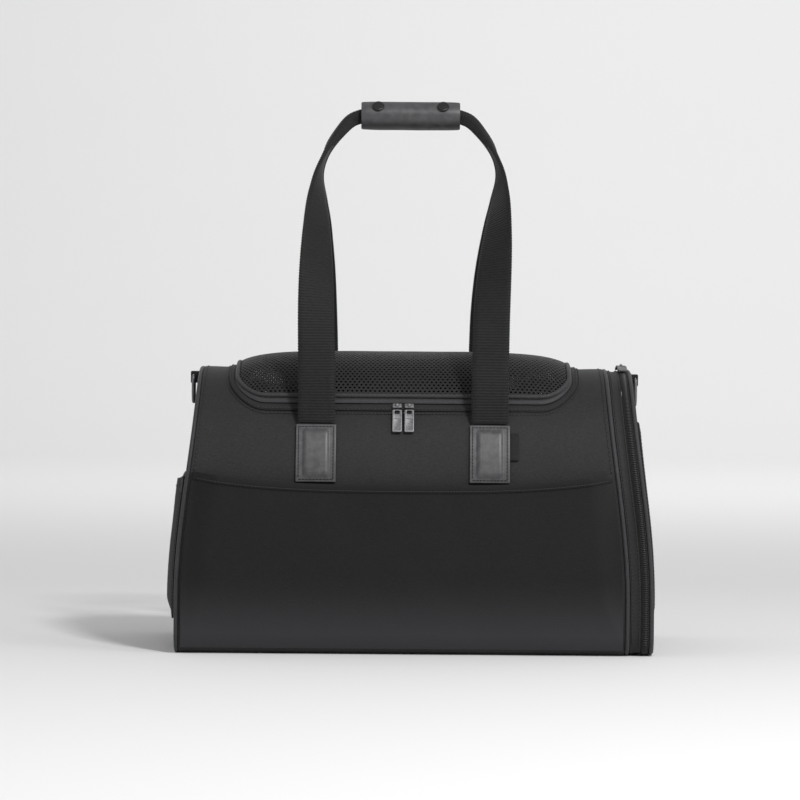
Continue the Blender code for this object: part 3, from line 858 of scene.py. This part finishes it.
def openMesh(name, columns, rows, pitch, row, strand, wall, keep, place, outwards):
    # hexagons in staggered rows, each opened, laid on the form and given a thickness
    clearSelection()
    radius = pitch / math.sqrt(3)
    bpy.ops.mesh.primitive_circle_add(vertices=6, radius=radius, fill_type="NGON")
    piece = bpy.context.object
    piece.name = name
    counts = ((2, (pitch / 2, 1.5 * radius, 0)), (columns, (pitch, 0, 0)),
              (rows // 2, (0, 3 * radius, 0)))
    for index, (count, offset) in enumerate(counts):
        step = piece.modifiers.new(f"row{index}", "ARRAY")
        step.use_relative_offset = False
        step.use_constant_offset = True
        step.constant_offset_displace = offset
        step.count = count
    applyAll(piece)
    squeeze = row / (1.5 * radius)
    half = Vector(((columns - 0.5) * pitch / 2, (rows - 1) * row / 2))
    for spot in piece.data.vertices:
        spot.co = Vector((spot.co.x - half.x, spot.co.y * squeeze - half.y, 0))
    onlySelect(piece)
    bpy.ops.object.mode_set(mode="EDIT")
    bpy.ops.mesh.select_all(action="DESELECT")
    shape = bmesh.from_edit_mesh(piece.data)
    for face in shape.faces:
        face.select_set(not keep(*face.calc_center_median().xy))
    bmesh.update_edit_mesh(piece.data)
    bpy.ops.mesh.delete(type="FACE")
    bpy.ops.mesh.select_all(action="SELECT")
    bpy.ops.mesh.remove_doubles(threshold=0.00005)
    bpy.ops.mesh.inset(thickness=strand / 2, use_individual=True)
    bpy.ops.mesh.delete(type="FACE")
    bpy.ops.object.mode_set(mode="OBJECT")
    for spot in piece.data.vertices:
        spot.co = Vector(place(spot.co.x, spot.co.y))
    faceAway(piece, outwards)
    return settle(giveWall(piece, wall, -1.0), 50)


def bySurface(profile, half):
    # turns a distance measured on the surface into a plan distance
    plan = np.linspace(0, half, 400)
    reach = np.concatenate([[0], np.cumsum(np.hypot(np.diff(plan),
                                                    np.diff([profile(p) for p in plan])))])
    return (lambda s: math.copysign(float(np.interp(abs(s), reach, plan)), s)), float(reach[-1])


def insidePlan(x, y, inset):
    sideX = max(abs(x) - (lid["x"] - lid["corner"]), 0)
    sideY = max(abs(y) - (lid["y"] - lid["corner"]), 0)
    if sideX == 0 or sideY == 0:
        return max(sideX, sideY) < lid["corner"] - inset
    return math.hypot(sideX, sideY) < lid["corner"] - inset


def makeLid():
    toX, longest = bySurface(lambda x: lidHeight(x, 0), lid["x"])
    toY, deepest = bySurface(lambda y: lidHeight(0, y), lid["y"])
    columns = int(2 * longest / lid["pitch"]) + 1
    rows = 2 * (int(2 * deepest / lid["row"]) // 2) + 2

    def place(s, t):
        x, y = toX(s), toY(t)
        return x, y, lidHeight(x, y) - 0.0002 * (1 + ripple((x, y, 0), 0.03, 6.0))

    net = openMesh("lidMesh", columns, rows, lid["pitch"], lid["row"], lid["strand"], lid["wall"],
                   lambda s, t: insidePlan(toX(s), toY(t), 0.0014), place,
                   lambda centre: Vector((0, centre.y * 4, 0.6)))
    dress(net, "knittedMesh", "lid", "open_mesh", "lid_mesh")

    ring = lidRing(320)
    spots = []
    for flat, way in ring:
        rise = lid["binding"] / math.cos(roofSlope(flat.y))
        spots.append(Vector((flat.x, flat.y, roofHeight(flat.y) + rise)))
    dress(tube("lidBead", spots, lid["bead"], True, 3), "pipingNylon", "lid", "zip_tape",
          "lid_binding")
    upper = ringStrip("lidZipTape", -0.0022, 0.0018, 0.0009, 0.0014, 0.0008)
    dress(upper, "pipingNylon", "lid", "zip_tape", "lid_zip_tape")
    lower = ringStrip("shellZipTape", 0.0027, 0.0074, 0.0004, 0.0005, 0.0006)
    dress(lower, "ballisticNylon", "carrier", "zip_tape", "lid_zip_tape_body")

    along = [onRoof(flat + way * 0.0023, -0.0002) for flat, way in ring]
    places = [frameAt(spot, way, sectionNormal(spot))
              for spot, way in walk(along, lid["toothPitch"])]
    tooth = bar("tooth", lid["tooth"])
    dress(repeat("lidZipCoil", tooth, places), "acetalCoil", "carrier", "zip_tape")

    for name, out, body, height in (("lidSeamStitches", 0.0094, "carrier", 0.0),
                                    ("lidTapeStitches", 0.0066, "carrier", 0.0014)):
        run = [onRoof(flat + way * out, height) for flat, way in ring + ring[:1]]
        stitches(name, run, sectionNormal, body, 0.0036 if height else 0.0034, 0.0005)
    print("lid done")


zipPull = {
    "size": (0.0087, 0.0230, 0.0017),
    "reach": 0.0120,                    # from the pivot to the plate's middle
    "corner": 0.0011,
    "eye": (0.0050, 0.0036, 0.0100),
    "panel": (0.0065, 0.0118, 0.0008),
    "slider": 0.0028,                   # depth of the slider's body
    "apart": 0.0056,                    # from the seam's middle to each slider
}


def pullModel(name):
    # the plate hangs along -Y from its pivot at the origin, with an eye and a shallow panel
    wide, tall, thick = zipPull["size"]
    plate = bar(name, (wide, tall, thick), (0, -zipPull["reach"], 0))
    bpy.ops.object.transform_apply(location=True, rotation=False, scale=False)
    roundUprights(plate, zipPull["corner"], thick, 5)
    for size, spot, corner in ((zipPull["eye"], (0, -0.0032, 0), 0.0012),
                               (zipPull["panel"], (0, -0.0158, thick / 2), 0.0005)):
        tool = bar("tool", size, spot)
        roundUprights(tool, corner, size[2], 4)
        cutWith(plate, tool)
    softEdges(plate, 0.00022)
    return applyAll(plate)


def sliderModel(name, wide, deep):
    # body with rounded ends and a domed bridge over its middle
    body = bar(name, (wide, deep, zipPull["slider"]), (0, 0, 0), 0.0009, 3)
    bpy.ops.object.transform_apply(location=True, rotation=False, scale=False)
    clearSelection()
    bpy.ops.mesh.primitive_uv_sphere_add(segments=20, ring_count=12, radius=1)
    bridge = bpy.context.object
    bridge.scale = (wide * 0.27, deep * 0.40, 0.0021)
    bridge.location = (0, 0, 0.0011)
    bpy.ops.object.transform_apply(location=True, rotation=False, scale=True)
    body.select_set(True)
    bpy.context.view_layer.objects.active = body
    bpy.ops.object.join()
    fuse = body.modifiers.new("fuse", "REMESH")
    fuse.mode = "VOXEL"
    fuse.voxel_size = 0.00018
    fuse.use_smooth_shade = True
    return applyAll(body)


def setDown(piece, place, degrees=40):
    piece.data.transform(place)
    piece.location = (0, 0, 0)
    return settle(piece, degrees)


def makeLidPulls():
    y = lid["y"] + 0.0056
    tilt = roofSlope(y)
    normal = Vector((0, -math.sin(tilt), math.cos(tilt)))
    down = Vector((0, -math.cos(tilt), -math.sin(tilt)))
    for side, x in (("left", -zipPull["apart"]), ("right", zipPull["apart"])):
        seat = Vector((x, -y, roofHeight(y)))
        turn = Matrix.Rotation(tilt, 4, "X")
        slider = sliderModel(f"lidSlider{side.title()}", 0.0088, 0.0050)
        setDown(slider, Matrix.Translation(seat + normal * 0.0036) @ turn, 60)
        dress(slider, "gunmetalZinc", f"lid_slider_{side}", "gunmetal", f"lid_slider_{side}")
        pull = pullModel(f"lidPull{side.title()}")
        pulled = Matrix.Rotation(tilt + math.radians(12), 4, "X")
        setDown(pull, Matrix.Translation(seat + normal * 0.0040 + down * 0.0042) @ pulled)
        dress(pull, "gunmetalZinc", f"lid_pull_{side}", "gunmetal", f"lid_pull_{side}")
    print("lid pulls done")


rings = {"left": (-0.1980, 0.2520), "right": (0.2190, 0.2520), "wire": 0.0015, "turn": 0.002,
         "shape": (0.0115, 0.0240, 0.0115)}   # half width, drop, radius of the bend


def makeRings():
    half, drop, arc = rings["shape"]
    small = rings["turn"]
    for side in ("left", "right"):
        x, z = rings[side]
        line = [Vector((x, -half + 2 * half * s / 6, z)) for s in range(1, 6)]
        for step in range(6):
            angle = -math.pi / 2 + math.pi / 2 * step / 5
            line.append(Vector((x, half - small + small * math.cos(angle),
                                z - small - small * math.sin(angle))))
        for step in range(25):
            angle = math.pi * step / 24
            line.append(Vector((x, arc * math.cos(angle),
                                z - (drop - arc) - arc * math.sin(angle))))
        for step in range(6):
            angle = math.pi + math.pi / 2 * step / 5
            line.append(Vector((x, -half + small + small * math.cos(angle),
                                z - small - small * math.sin(angle))))
        ring = tube(f"{side}Ring", line, rings["wire"], True, 4)
        dress(ring, "gunmetalZinc", f"{side}_ring", "gunmetal", f"{side}_ring")
    print("rings done")


makeLid()
makeLidPulls()
makeRings()


strap = {
    "rib": 0.0026, "ribHeight": 0.00024, "tooth": 0.0003, "leanFrom": 0.30, "lean": 0.005,
    # height, distance from the middle, distance to the front, width, thickness, turn
    "leg": (
        (0.2127, 0.0800, 0.1112, 0.0340, 0.0022, 0),
        (0.2500, 0.0800, 0.1118, 0.0340, 0.0022, 0),
        (0.3000, 0.0808, 0.1060, 0.0340, 0.0022, 8),
        (0.3450, 0.0822, 0.0930, 0.0340, 0.0022, 24),
        (0.3900, 0.0838, 0.0720, 0.0340, 0.0022, 45),
        (0.4250, 0.0845, 0.0500, 0.0330, 0.0024, 68),
        (0.4500, 0.0830, 0.0335, 0.0290, 0.0030, 86),
        (0.4700, 0.0760, 0.0215, 0.0220, 0.0052, 90),
        (0.4850, 0.0655, 0.0135, 0.0160, 0.0080, 90),
        (0.4950, 0.0555, 0.0088, 0.0125, 0.0100, 90),
        (0.4995, 0.0440, 0.0072, 0.0115, 0.0105, 90),
    ),
}


def legAt(place):
    leg = strap["leg"]
    here = min(int(place), len(leg) - 2)
    share = place - here
    rows = [leg[min(max(here + k, 0), len(leg) - 1)] for k in (-1, 0, 1, 2)]
    return [b + 0.5 * share * (c - a + share * (2 * a - 5 * b + 4 * c - d
                                                + share * (3 * (b - c) + d - a)))
            for a, b, c, d in zip(*rows)]


def strapLine():
    # up the left leg, through the grip and down the right, in even small steps
    last = len(strap["leg"]) - 1
    rows = []
    for side, order in ((-1, range(601)), (1, range(600, -1, -1))):
        for step in order:
            z, x, y, wide, thick, turn = legAt(last * step / 600)
            shift = strap["lean"] * smooth((z - strap["leanFrom"]) / 0.18)
            rows.append((side * x + shift, -y, z, wide, thick, turn, side))
    table = np.array(rows)
    spans = np.linalg.norm(np.diff(table[:, :3], axis=0), axis=1)
    reach = np.concatenate([[0], np.cumsum(spans)])
    count = int(reach[-1] / (strap["rib"] / 5))
    even = np.linspace(0, reach[-1], count + 1)
    made = np.stack([np.interp(even, reach, table[:, k]) for k in range(7)], axis=1)
    return even, made


def makeHandle(name, node, way):
    even, table = strapLine()
    count = len(even)
    section = [(-1, -0.3), (-1, 0.3), (-0.93, 1)]
    section += [(-0.93 + 1.86 * k / 7, 1) for k in range(1, 8)]
    section += [(1, 0.3), (1, -0.3), (0.93, -1)]
    section += [(0.93 - 1.86 * k / 7, -1) for k in range(1, 8)]
    sides = len(section)

    def place(u, v):
        index = min(int(round(v * (count - 1))), count - 1)
        x, y, z, wide, thick, turn, _ = table[index]
        before = Vector(table[max(index - 3, 0)][:3])
        after = Vector(table[min(index + 3, count - 1)][:3])
        along = (after - before).normalized()
        side = -1 if index < count / 2 else 1
        angle = math.radians(turn)
        widthWay = Vector((-side * math.cos(angle), math.sin(angle), 0))
        widthWay = (widthWay - along * widthWay.dot(along)).normalized()
        thickWay = along.cross(widthWay)
        across, through = section[int(round(u * sides)) % sides]
        phase = math.cos(even[index] / strap["rib"] * 2 * math.pi)
        rolled = smooth((wide - 0.020) / 0.008)
        half = thick / 2 + strap["ribHeight"] * phase * (0.4 + 0.6 * rolled)
        half *= 0.5 + 0.5 * smooth((z - strap["leg"][0][0]) / 0.0010)
        reach = wide / 2 + strap["tooth"] * phase * (1 if abs(across) > 0.99 else 0)
        curl = 0.0009 * rolled * ripple((x, y, z), 0.06, 8.0) * across
        fold = (1 - rolled) * 0.0012 * math.sin(across * 9) * (1 if through else 0)
        spot = Vector((x, y, z)) + widthWay * across * reach
        spot += thickWay * (through * half + curl + fold)
        return spot.x, spot.y * way, spot.z

    web = cloth(name, sides, count - 1, place)
    onlySelect(web)
    bpy.ops.object.mode_set(mode="EDIT")
    bpy.ops.mesh.select_all(action="SELECT")
    bpy.ops.mesh.remove_doubles(threshold=0.00001)
    bpy.ops.mesh.select_all(action="DESELECT")
    bpy.ops.mesh.select_non_manifold()
    bpy.ops.mesh.fill_holes(sides=0)
    bpy.ops.mesh.select_all(action="SELECT")
    bpy.ops.mesh.normals_make_consistent(inside=False)
    bpy.ops.object.mode_set(mode="OBJECT")
    dress(settle(web, 60), "polyesterWebbing", node, "webbing", node)


def makeStrapRoots():
    # the webbing comes out from under the patch and turns up at the fold
    low, high = 0.2060, 0.2120
    axis = 0.1112
    for side in (-1, 1):
        for way, face in ((-1, "Front"), (1, "Back")):
            def place(u, v):
                z = low + (high - low) * v
                held = wallDepth(z) + 0.0012
                y = held + (axis - wallDepth(high) - 0.0026) * smooth((z - 0.2095) / 0.0025)
                rib = 0.00020 * math.cos(z / strap["rib"] * 2 * math.pi)
                return side * 0.080 + 0.0340 * (u - 0.5), way * (y + 0.0009 + rib), z

            name = f"strapRoot{'Left' if side < 0 else 'Right'}{face}"
            root = cloth(name, 10, 30, place)
            faceAway(root, lambda centre: Vector((0, way, 0)))
            giveWall(root, 0.0020, -1.0, 0.0004)
            dress(settle(root, 60), "polyesterWebbing", "carrier", "webbing")
    print("straps done")


grip = {"x": 0.005, "z": 0.4995, "long": 0.093, "deep": 0.0185, "tall": 0.0130, "wall": 0.0020,
        "flap": 0.0014, "gap": 0.0004, "snap": 0.0057, "snapAt": 0.0305}


def gripLayer(name, way, low, high, grow, wall, cells, corner, wave=0.0):
    def place(u, v):
        # the layer's four corners are rounded in the flat cut
        a, b = 2 * u - 1, 2 * v - 1
        span = math.radians(high - low) * grip["deep"] * 0.85
        near = max(abs(b) * span / 2 - (span / 2 - corner), 0)
        trim = corner - math.sqrt(max(corner * corner - near * near, 0))
        x = grip["x"] + a * (grip["long"] / 2 - trim)
        angle = math.radians(low + (high - low) * v)
        swell = grow + wave * ripple((x, 0, v * 0.03), 0.022, 2.6)
        swell -= 0.0005 * (abs(a) ** 6)
        y = 0.0005 + (grip["deep"] + swell) * math.sin(angle)
        return x, way * y, grip["z"] - (grip["tall"] + swell) * math.cos(angle)

    layer = cloth(name, cells[0], cells[1], place)
    faceAway(layer, lambda centre: Vector((0, centre.y, centre.z - grip["z"])))
    return settle(giveWall(layer, wall, -1.0, 0.00045), 50)


def makeGrip():
    front = gripLayer("gripFront", -1, 3, 177, 0, grip["wall"], (70, 60), 0.0012)
    dress(front, "finishedLeather", "front_handle", "black_leather", "grip_front")
    back = gripLayer("gripBack", 1, 3, 177, 0, grip["wall"], (70, 60), 0.0012, 0.0002)
    dress(back, "finishedLeather", "back_handle", "black_leather", "grip_back")
    grow = grip["gap"] + grip["flap"]
    flap = gripLayer("gripFlap", -1, 20, 151, grow, grip["flap"], (90, 60), 0.0022, 0.0002)
    dress(flap, "finishedLeather", "grip_flap", "black_leather", "grip_flap")

    angle = math.radians(122)
    deep, tall = grip["deep"] + grow, grip["tall"] + grow
    normal = Vector((0, -math.sin(angle) / deep, -math.cos(angle) / tall)).normalized()
    seat = Vector((grip["x"], -(0.0005 + deep * math.sin(angle)),
                   grip["z"] - tall * math.cos(angle)))
    for side, x in (("left", -grip["snapAt"]), ("right", grip["snapAt"])):
        # a domed cap sunk a little in the leather, with a rolled rim
        clearSelection()
        bpy.ops.mesh.primitive_uv_sphere_add(segments=40, ring_count=24, radius=1)
        cap = bpy.context.object
        cap.name = f"snapCap{side.title()}"
        for spot in cap.data.vertices:
            flat = math.hypot(spot.co.x, spot.co.y)
            rim = 0.00035 * math.exp(-((flat - 0.86) / 0.07) ** 2)
            high = 0.0010 * spot.co.z if spot.co.z > 0 else 0.0004 * spot.co.z
            spot.co = Vector((spot.co.x * grip["snap"], spot.co.y * grip["snap"],
                              high + rim * (spot.co.z > 0)))
        spot = seat + normal * 0.0012 + Vector((x, 0, 0))
        setDown(cap, frameAt(spot, Vector((1, 0, 0)), normal), 60)
        dress(cap, "blackZinc", "grip_flap", "gunmetal", f"snap_cap_{side}")
    print("grip done")


makeHandle("frontWebbing", "front_handle", 1)
makeHandle("backWebbing", "back_handle", -1)
makeStrapRoots()
makeGrip()


# steps outwards from the end of the long panels
door = {
    "gusset": (0.0052, 0.0146), "bodyTape": (0.0150, 0.0186), "doorTape": (0.0189, 0.0225),
    "coil": 0.01875, "face": 0.0230, "wall": 0.0040, "flapFace": 0.0275, "inset": 0.0015,
    # half width, low, high, corner
    "window": (0.085, 0.050, 0.200, 0.030), "flap": (0.095, 0.036, 0.214, 0.012),
    "bead": 0.0017, "tooth": (0.00105, 0.0050, 0.0013), "toothPitch": 0.0017,
    "slider": (0.0052, 0.0086), "sliderAt": 0.0187,
}


def endCutter(halfY, low, high, corner):
    tool = uprightCutter(halfY, (high - low) / 2, corner, -0.05, 0.05)
    tool.data.transform(Matrix.Rotation(math.pi / 2, 4, "X"))
    tool.data.transform(Matrix.Rotation(math.pi / 2, 4, "Z"))
    tool.data.transform(Matrix.Translation((0.215, 0, (low + high) / 2)))
    return tool


def makeGusset():
    for name, key, low, high, finish, slot, body, node in (
            ("gussetCloth", "gusset", 0, 6, "ballisticNylon", "nylon", "carrier", "right_gusset"),
            ("bodyZipTape", "bodyTape", 0, 6, "grosgrain", "zip_tape", "carrier",
             "door_zip_tape_body"),
            ("doorZipTape", "doorTape", 0.95, 5.05, "grosgrain", "zip_tape", "door",
             "door_zip_tape")):
        inner, outer = door[key]

        def place(u, v):
            y, z = around(low + (high - low) * u, door["inset"])
            x = halfLength(z) + inner + (outer - inner) * v
            out = Vector((0, y, (z - 0.1) * 0.8)).normalized()
            if key == "gusset":
                hollow = math.sin(math.pi * v)
                deep = -0.0010 * hollow - 0.0004 * ripple((x, y, z), 0.03, 5.0)
                deep -= 0.0004 * hollow * abs(ripple((0, y, z), 0.02, 2.0))
            else:
                deep = 0.0006 * math.sin(math.pi * v) ** 0.6 - 0.0006
            return Vector((x, y, z)) + out * deep

        piece = cloth(name, 260, 6, place)
        if high - low == 6:
            weld(piece, 0.00002)
        faceAway(piece, awayFromAxis)
        giveWall(piece, 0.0020, -1.0, 0.0003)
        dress(settle(piece, 50), finish, body, slot, node)

    def line(reach, low, high, count, inset):
        return sectionLine(lambda z: halfLength(z) + reach, low, high, count, inset)

    # zip coil, standing a little proud of both tapes
    arch = line(door["coil"], 1.0, 5.0, 500, door["inset"] - 0.0002)
    tooth = bar("tooth", door["tooth"], bevel=0.0003, segments=1)
    places = [frameAt(spot, way, sectionNormal(spot))
              for spot, way in walk(arch, door["toothPitch"])]
    dress(repeat("doorZipCoil", tooth, places), "acetalCoil", "carrier", "zip_tape")
    bead = tube("doorBead", line(door["face"] + 0.0016, 0, 6, 200, door["inset"] + 0.0006)[:-1],
                door["bead"])
    dress(bead, "pipingNylon", "door", "zip_tape")
    for name, reach, body in (("gussetStitchesInner", 0.0068, "carrier"),
                              ("gussetStitchesOuter", 0.0136, "carrier"),
                              ("doorTapeStitches", 0.0219, "door")):
        run = line(reach, 1.3, 4.7, 240, door["inset"] + (0.0003 if "gusset" in name else 0))
        stitches(name, run, sectionNormal, body, 0.0034, 0.00042)
    print("gusset done")


def endSheet(name, face, low, high, inset, cells, wall, dent, seed):
    def place(u, v):
        y, z = rising(low + (high - low) * v, inset)
        y *= 2 * u - 1
        slack = dent * (ripple((0, y, z), 0.06, seed) - 0.4)
        return halfLength(z) + face + slack, y, z

    piece = cloth(name, cells[0], cells[1], place)
    faceAway(piece, always(1, 0, 0))
    return giveWall(piece, wall, 1.0)


def makeDoor():
    halfY, low, high, corner = door["window"]
    panel = endSheet("doorCloth", door["face"], 1.0, 2.93, 0.0022, (80, 90), door["wall"], 0.0004,
                     3.3)
    cutWith(panel, endCutter(halfY, low, high, corner))
    dress(settle(panel), "ballisticNylon", "door", "nylon", "door_panel")

    # tape round the window, over the net's edge
    def faceX(z):
        return halfLength(z) + door["face"] + door["wall"]

    rim = []
    for quarter, (sy, sz) in enumerate(((1, 1), (-1, 1), (-1, -1), (1, -1))):
        for step in range(13):
            angle = (quarter + step / 12) * math.pi / 2
            z = (low + high) / 2 + sz * ((high - low) / 2 - corner)
            z += (corner + 0.003) * math.sin(angle)
            y = sy * (halfY - corner) + (corner + 0.003) * math.cos(angle)
            rim.append(Vector((faceX(z), y, z)))
    full = []
    for here, there in zip(rim, rim[1:] + rim[:1]):
        count = max(1, int((there - here).length / 0.006))
        for step in range(count):
            spot = here.lerp(there, step / count)
            full.append(Vector((faceX(spot.z) - 0.0004, spot.y, spot.z)))
    binding = tube("windowBinding", full, 0.0012, True, 2)
    dress(binding, "grosgrain", "door", "zip_tape")

    def netPlace(s, t):
        z = (low + high) / 2 + t
        return halfLength(z) + door["face"] + 0.0020, s, z

    def keep(s, t):
        sideY = max(abs(s) - (halfY - corner), 0)
        sideZ = max(abs(t) - ((high - low) / 2 - corner), 0)
        return math.hypot(sideY, sideZ) < corner + 0.0016

    net = openMesh("windowMesh", 44, 46, lid["pitch"], lid["row"], lid["strand"], lid["wall"],
                   keep, netPlace, always(1, 0, 0))
    dress(net, "knittedMesh", "door", "open_mesh", "door_window_mesh")

    # the roll-down cover, sewn along its top
    flapHalf, flapLow, flapHigh, flapCorner = door["flap"]

    def flapPlace(u, v):
        b = 2 * v - 1
        tall = (flapHigh - flapLow) / 2
        near = max(abs(b) * tall - (tall - flapCorner), 0)
        trim = flapCorner - math.sqrt(max(flapCorner * flapCorner - near * near, 0))
        y = (2 * u - 1) * (flapHalf - trim)
        z = (flapLow + flapHigh) / 2 + b * tall
        hang = 0.0005 * (1 - v) * (ripple((0, y, z), 0.05, 6.6) - 0.2)
        return halfLength(z) + door["flapFace"] + hang, y, z

    flap = cloth("flapCloth", 70, 70, flapPlace)
    faceAway(flap, always(1, 0, 0))
    giveWall(flap, 0.0018, 1.0, 0.0005)
    dress(settle(flap), "ballisticNylon", "door_flap", "nylon", "door_flap")
    edge = [Vector(flapPlace(0.97, v / 60)) for v in range(3, 58)]
    edge += [Vector(flapPlace(u / 60, 0.965)) for u in range(58, 1, -1)]
    edge += [Vector(flapPlace(0.03, v / 60)) for v in range(57, 2, -1)]
    edge += [Vector(flapPlace(u / 60, 0.035)) for u in range(2, 59)]
    stitches("flapStitches", [e + Vector((0.0019, 0, 0)) for e in edge], always(1, 0, 0),
             "door_flap")
    makeTab("flapTab", "door_flap_tab", "door_flap", 0.0005)
    print("door done")


def makeDoorPulls():
    lean = math.radians(6)
    x = halfLength(section["top"]) + door["sliderAt"]
    for side, way in (("front", -1), ("back", 1)):
        slider = sliderModel(f"doorSlider{side.title()}", *door["slider"])
        setDown(slider, Matrix.Translation((x, way * 0.0052, section["top"] + 0.0016))
                @ Matrix.Rotation(-way * lean, 4, "X"), 60)
        dress(slider, "gunmetalZinc", f"door_slider_{side}", "gunmetal", f"door_slider_{side}")
        pull = pullModel(f"doorPull{side.title()}")
        half = Matrix.Rotation(math.pi, 4, "Z") if way > 0 else Matrix.Identity(4)
        setDown(pull, Matrix.Translation((x, way * 0.0110, section["top"] + 0.0026))
                @ Matrix.Rotation(-way * math.radians(8), 4, "X") @ half)
        dress(pull, "gunmetalZinc", f"door_pull_{side}", "gunmetal", f"door_pull_{side}")
    print("door pulls done")


bed = {"size": (0.372, 0.216), "middle": 0.0062, "thick": 0.0200, "draw": 0.10}


def dressCarried():
    # the ring tabs keep their bored shape from the frame
    for node in ("left_ring_tab", "right_ring_tab"):
        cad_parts[node].data.materials.clear()
        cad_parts[node].data.materials.append(materials["grosgrain"])


def cornerDraw(a, b):
    # the corners of the seam are drawn in
    return 1 - bed["draw"] * (abs(a) * abs(b)) ** 6


def makeBed():
    # a flat cushion: crowned faces, sides pulled in to a seam, corners drawn a little long
    clearSelection()
    bpy.ops.mesh.primitive_cube_add(size=1)
    pad = bpy.context.object
    pad.name = "bedCushion"
    bpy.ops.object.mode_set(mode="EDIT")
    bpy.ops.mesh.select_all(action="SELECT")
    bpy.ops.mesh.subdivide(number_cuts=47)
    bpy.ops.object.mode_set(mode="OBJECT")
    half = Vector((bed["size"][0] / 2, bed["size"][1] / 2, 0))
    seam = bed["middle"] + bed["thick"] * 0.42
    for spot in pad.data.vertices:
        a, b, c = spot.co * 2
        drawn = cornerDraw(a, b)
        pull = 1 - 0.010 * abs(c) ** 2
        x, y = a * half.x * drawn * pull, b * half.y * drawn * pull
        crown = (1 - abs(a) ** 7) ** 0.5 * (1 - abs(b) ** 5) ** 0.5
        lump = 0.0006 * ripple((x, y, c * 0.01), 0.05, 4.0) * crown
        high = (bed["thick"] * 0.55) * (0.16 + 0.84 * crown) + lump
        low = (bed["thick"] * 0.42) * (0.22 + 0.78 * crown)
        z = seam + (high if c > 0 else low) * c
        spot.co = Vector((x, y, z))
    bpy.ops.object.select_all(action="DESELECT")
    dress(settle(pad, 80), "brushedFleece", "carrier", "fleece", "pet_bed")
    rim = []
    for step in range(240):
        angle = 2 * math.pi * step / 240
        c, s = math.cos(angle), math.sin(angle)
        reach = max(abs(c), abs(s))
        a, b = c / reach, s / reach
        drawn = cornerDraw(a, b)
        rim.append(Vector((a * half.x * drawn, b * half.y * drawn, seam)))
    dress(tube("bedPiping", rim, 0.0016, True, 2), "grosgrain", "carrier", "zip_tape")
    print("bed done")


makeGusset()
makeDoor()
makeDoorPulls()
makeBed()
dressCarried()


studio = {
    "far": 4.16, "height": 0.340, "aimX": -0.003, "aimY": -0.14, "aimZ": 0.2347,
    "lens": 204.7, "roll": 0.45,
    "radius": 1.6,      # bend of the paper sweep
    "run": 12.0,        # its length on the floor
    "start": 7.4,       # how far it reaches in front
    "wide": 9.0,        # half its width
    "world": 0.52,
    # place, aim, size and power of each softbox
    "boxes": {
        "keyBox": ((1.05, -2.25, 2.4), (0, 0, 0.2), (0.40, 0.40), 62),
        "sideFill": ((2.4, -1.6, 1.6), (0.2, 0, 0.2), (1.2, 1.2), 12),
        "backdropBox": ((0.9, 2.6, 3.0), (0.9, 6.2, 0.9), (3.0, 1.4), 66),
    },
}


def makeStudio():
    # a seamless pale paper sweep
    clearSelection()
    bpy.ops.mesh.primitive_grid_add(x_subdivisions=2, y_subdivisions=60, size=1)
    sweep = bpy.context.object
    sweep.name = "paperSweep"
    radius, run, start = studio["radius"], studio["run"], studio["start"]
    bend = radius * math.pi / 2
    for spot in sweep.data.vertices:
        along = (spot.co.y + 0.5) * (run + bend + 4)
        x = spot.co.x * 2 * studio["wide"]
        if along < run:
            spot.co = Vector((x, along - start, 0))
        elif along < run + bend:
            turn = (along - run) / radius
            back = run - start + radius * math.sin(turn)
            spot.co = Vector((x, back, radius * (1 - math.cos(turn))))
        else:
            spot.co = Vector((x, run - start + radius, radius + along - run - bend))
    settle(sweep, 60)
    startMaterial("paperSweep", "#eaeaea", 0.9, Specular_IOR_Level=0.1)
    sweep.data.materials.append(materials["paperSweep"])

    world = bpy.data.worlds.new("studio")
    bpy.context.scene.world = world
    world.use_nodes = True
    sky = world.node_tree.nodes["Background"]
    sky.inputs["Color"].default_value = toLinear("#ffffff")
    sky.inputs["Strength"].default_value = studio["world"]

    for name, (place, aim, size, power) in studio["boxes"].items():
        clearSelection()
        bpy.ops.object.light_add(type="AREA", location=place)
        lamp = bpy.context.object
        lamp.name = name
        lamp.data.shape = "RECTANGLE"
        lamp.data.size, lamp.data.size_y = size
        lamp.data.energy = power
        lamp.rotation_euler = (Vector(aim) - Vector(place)).to_track_quat("-Z", "Y").to_euler()

    print("studio done")


def makeCamera():
    eye = Vector((studio["aimX"], studio["aimY"] - studio["far"], studio["height"]))
    aim = Vector((studio["aimX"], studio["aimY"], studio["aimZ"]))
    data = bpy.data.cameras.new("camera")
    data.lens = studio["lens"]
    data.sensor_width = 36
    data.clip_end = 60
    camera = bpy.data.objects.new("camera", data)
    bpy.context.scene.collection.objects.link(camera)
    turn = (aim - eye).to_track_quat("-Z", "Y").to_matrix().to_4x4()
    camera.matrix_world = (Matrix.Translation(eye) @ turn
                           @ Matrix.Rotation(math.radians(studio["roll"]), 4, "Z"))
    bpy.context.scene.camera = camera
    bpy.context.scene.view_settings.view_transform = "Standard"


makeStudio()
makeCamera()
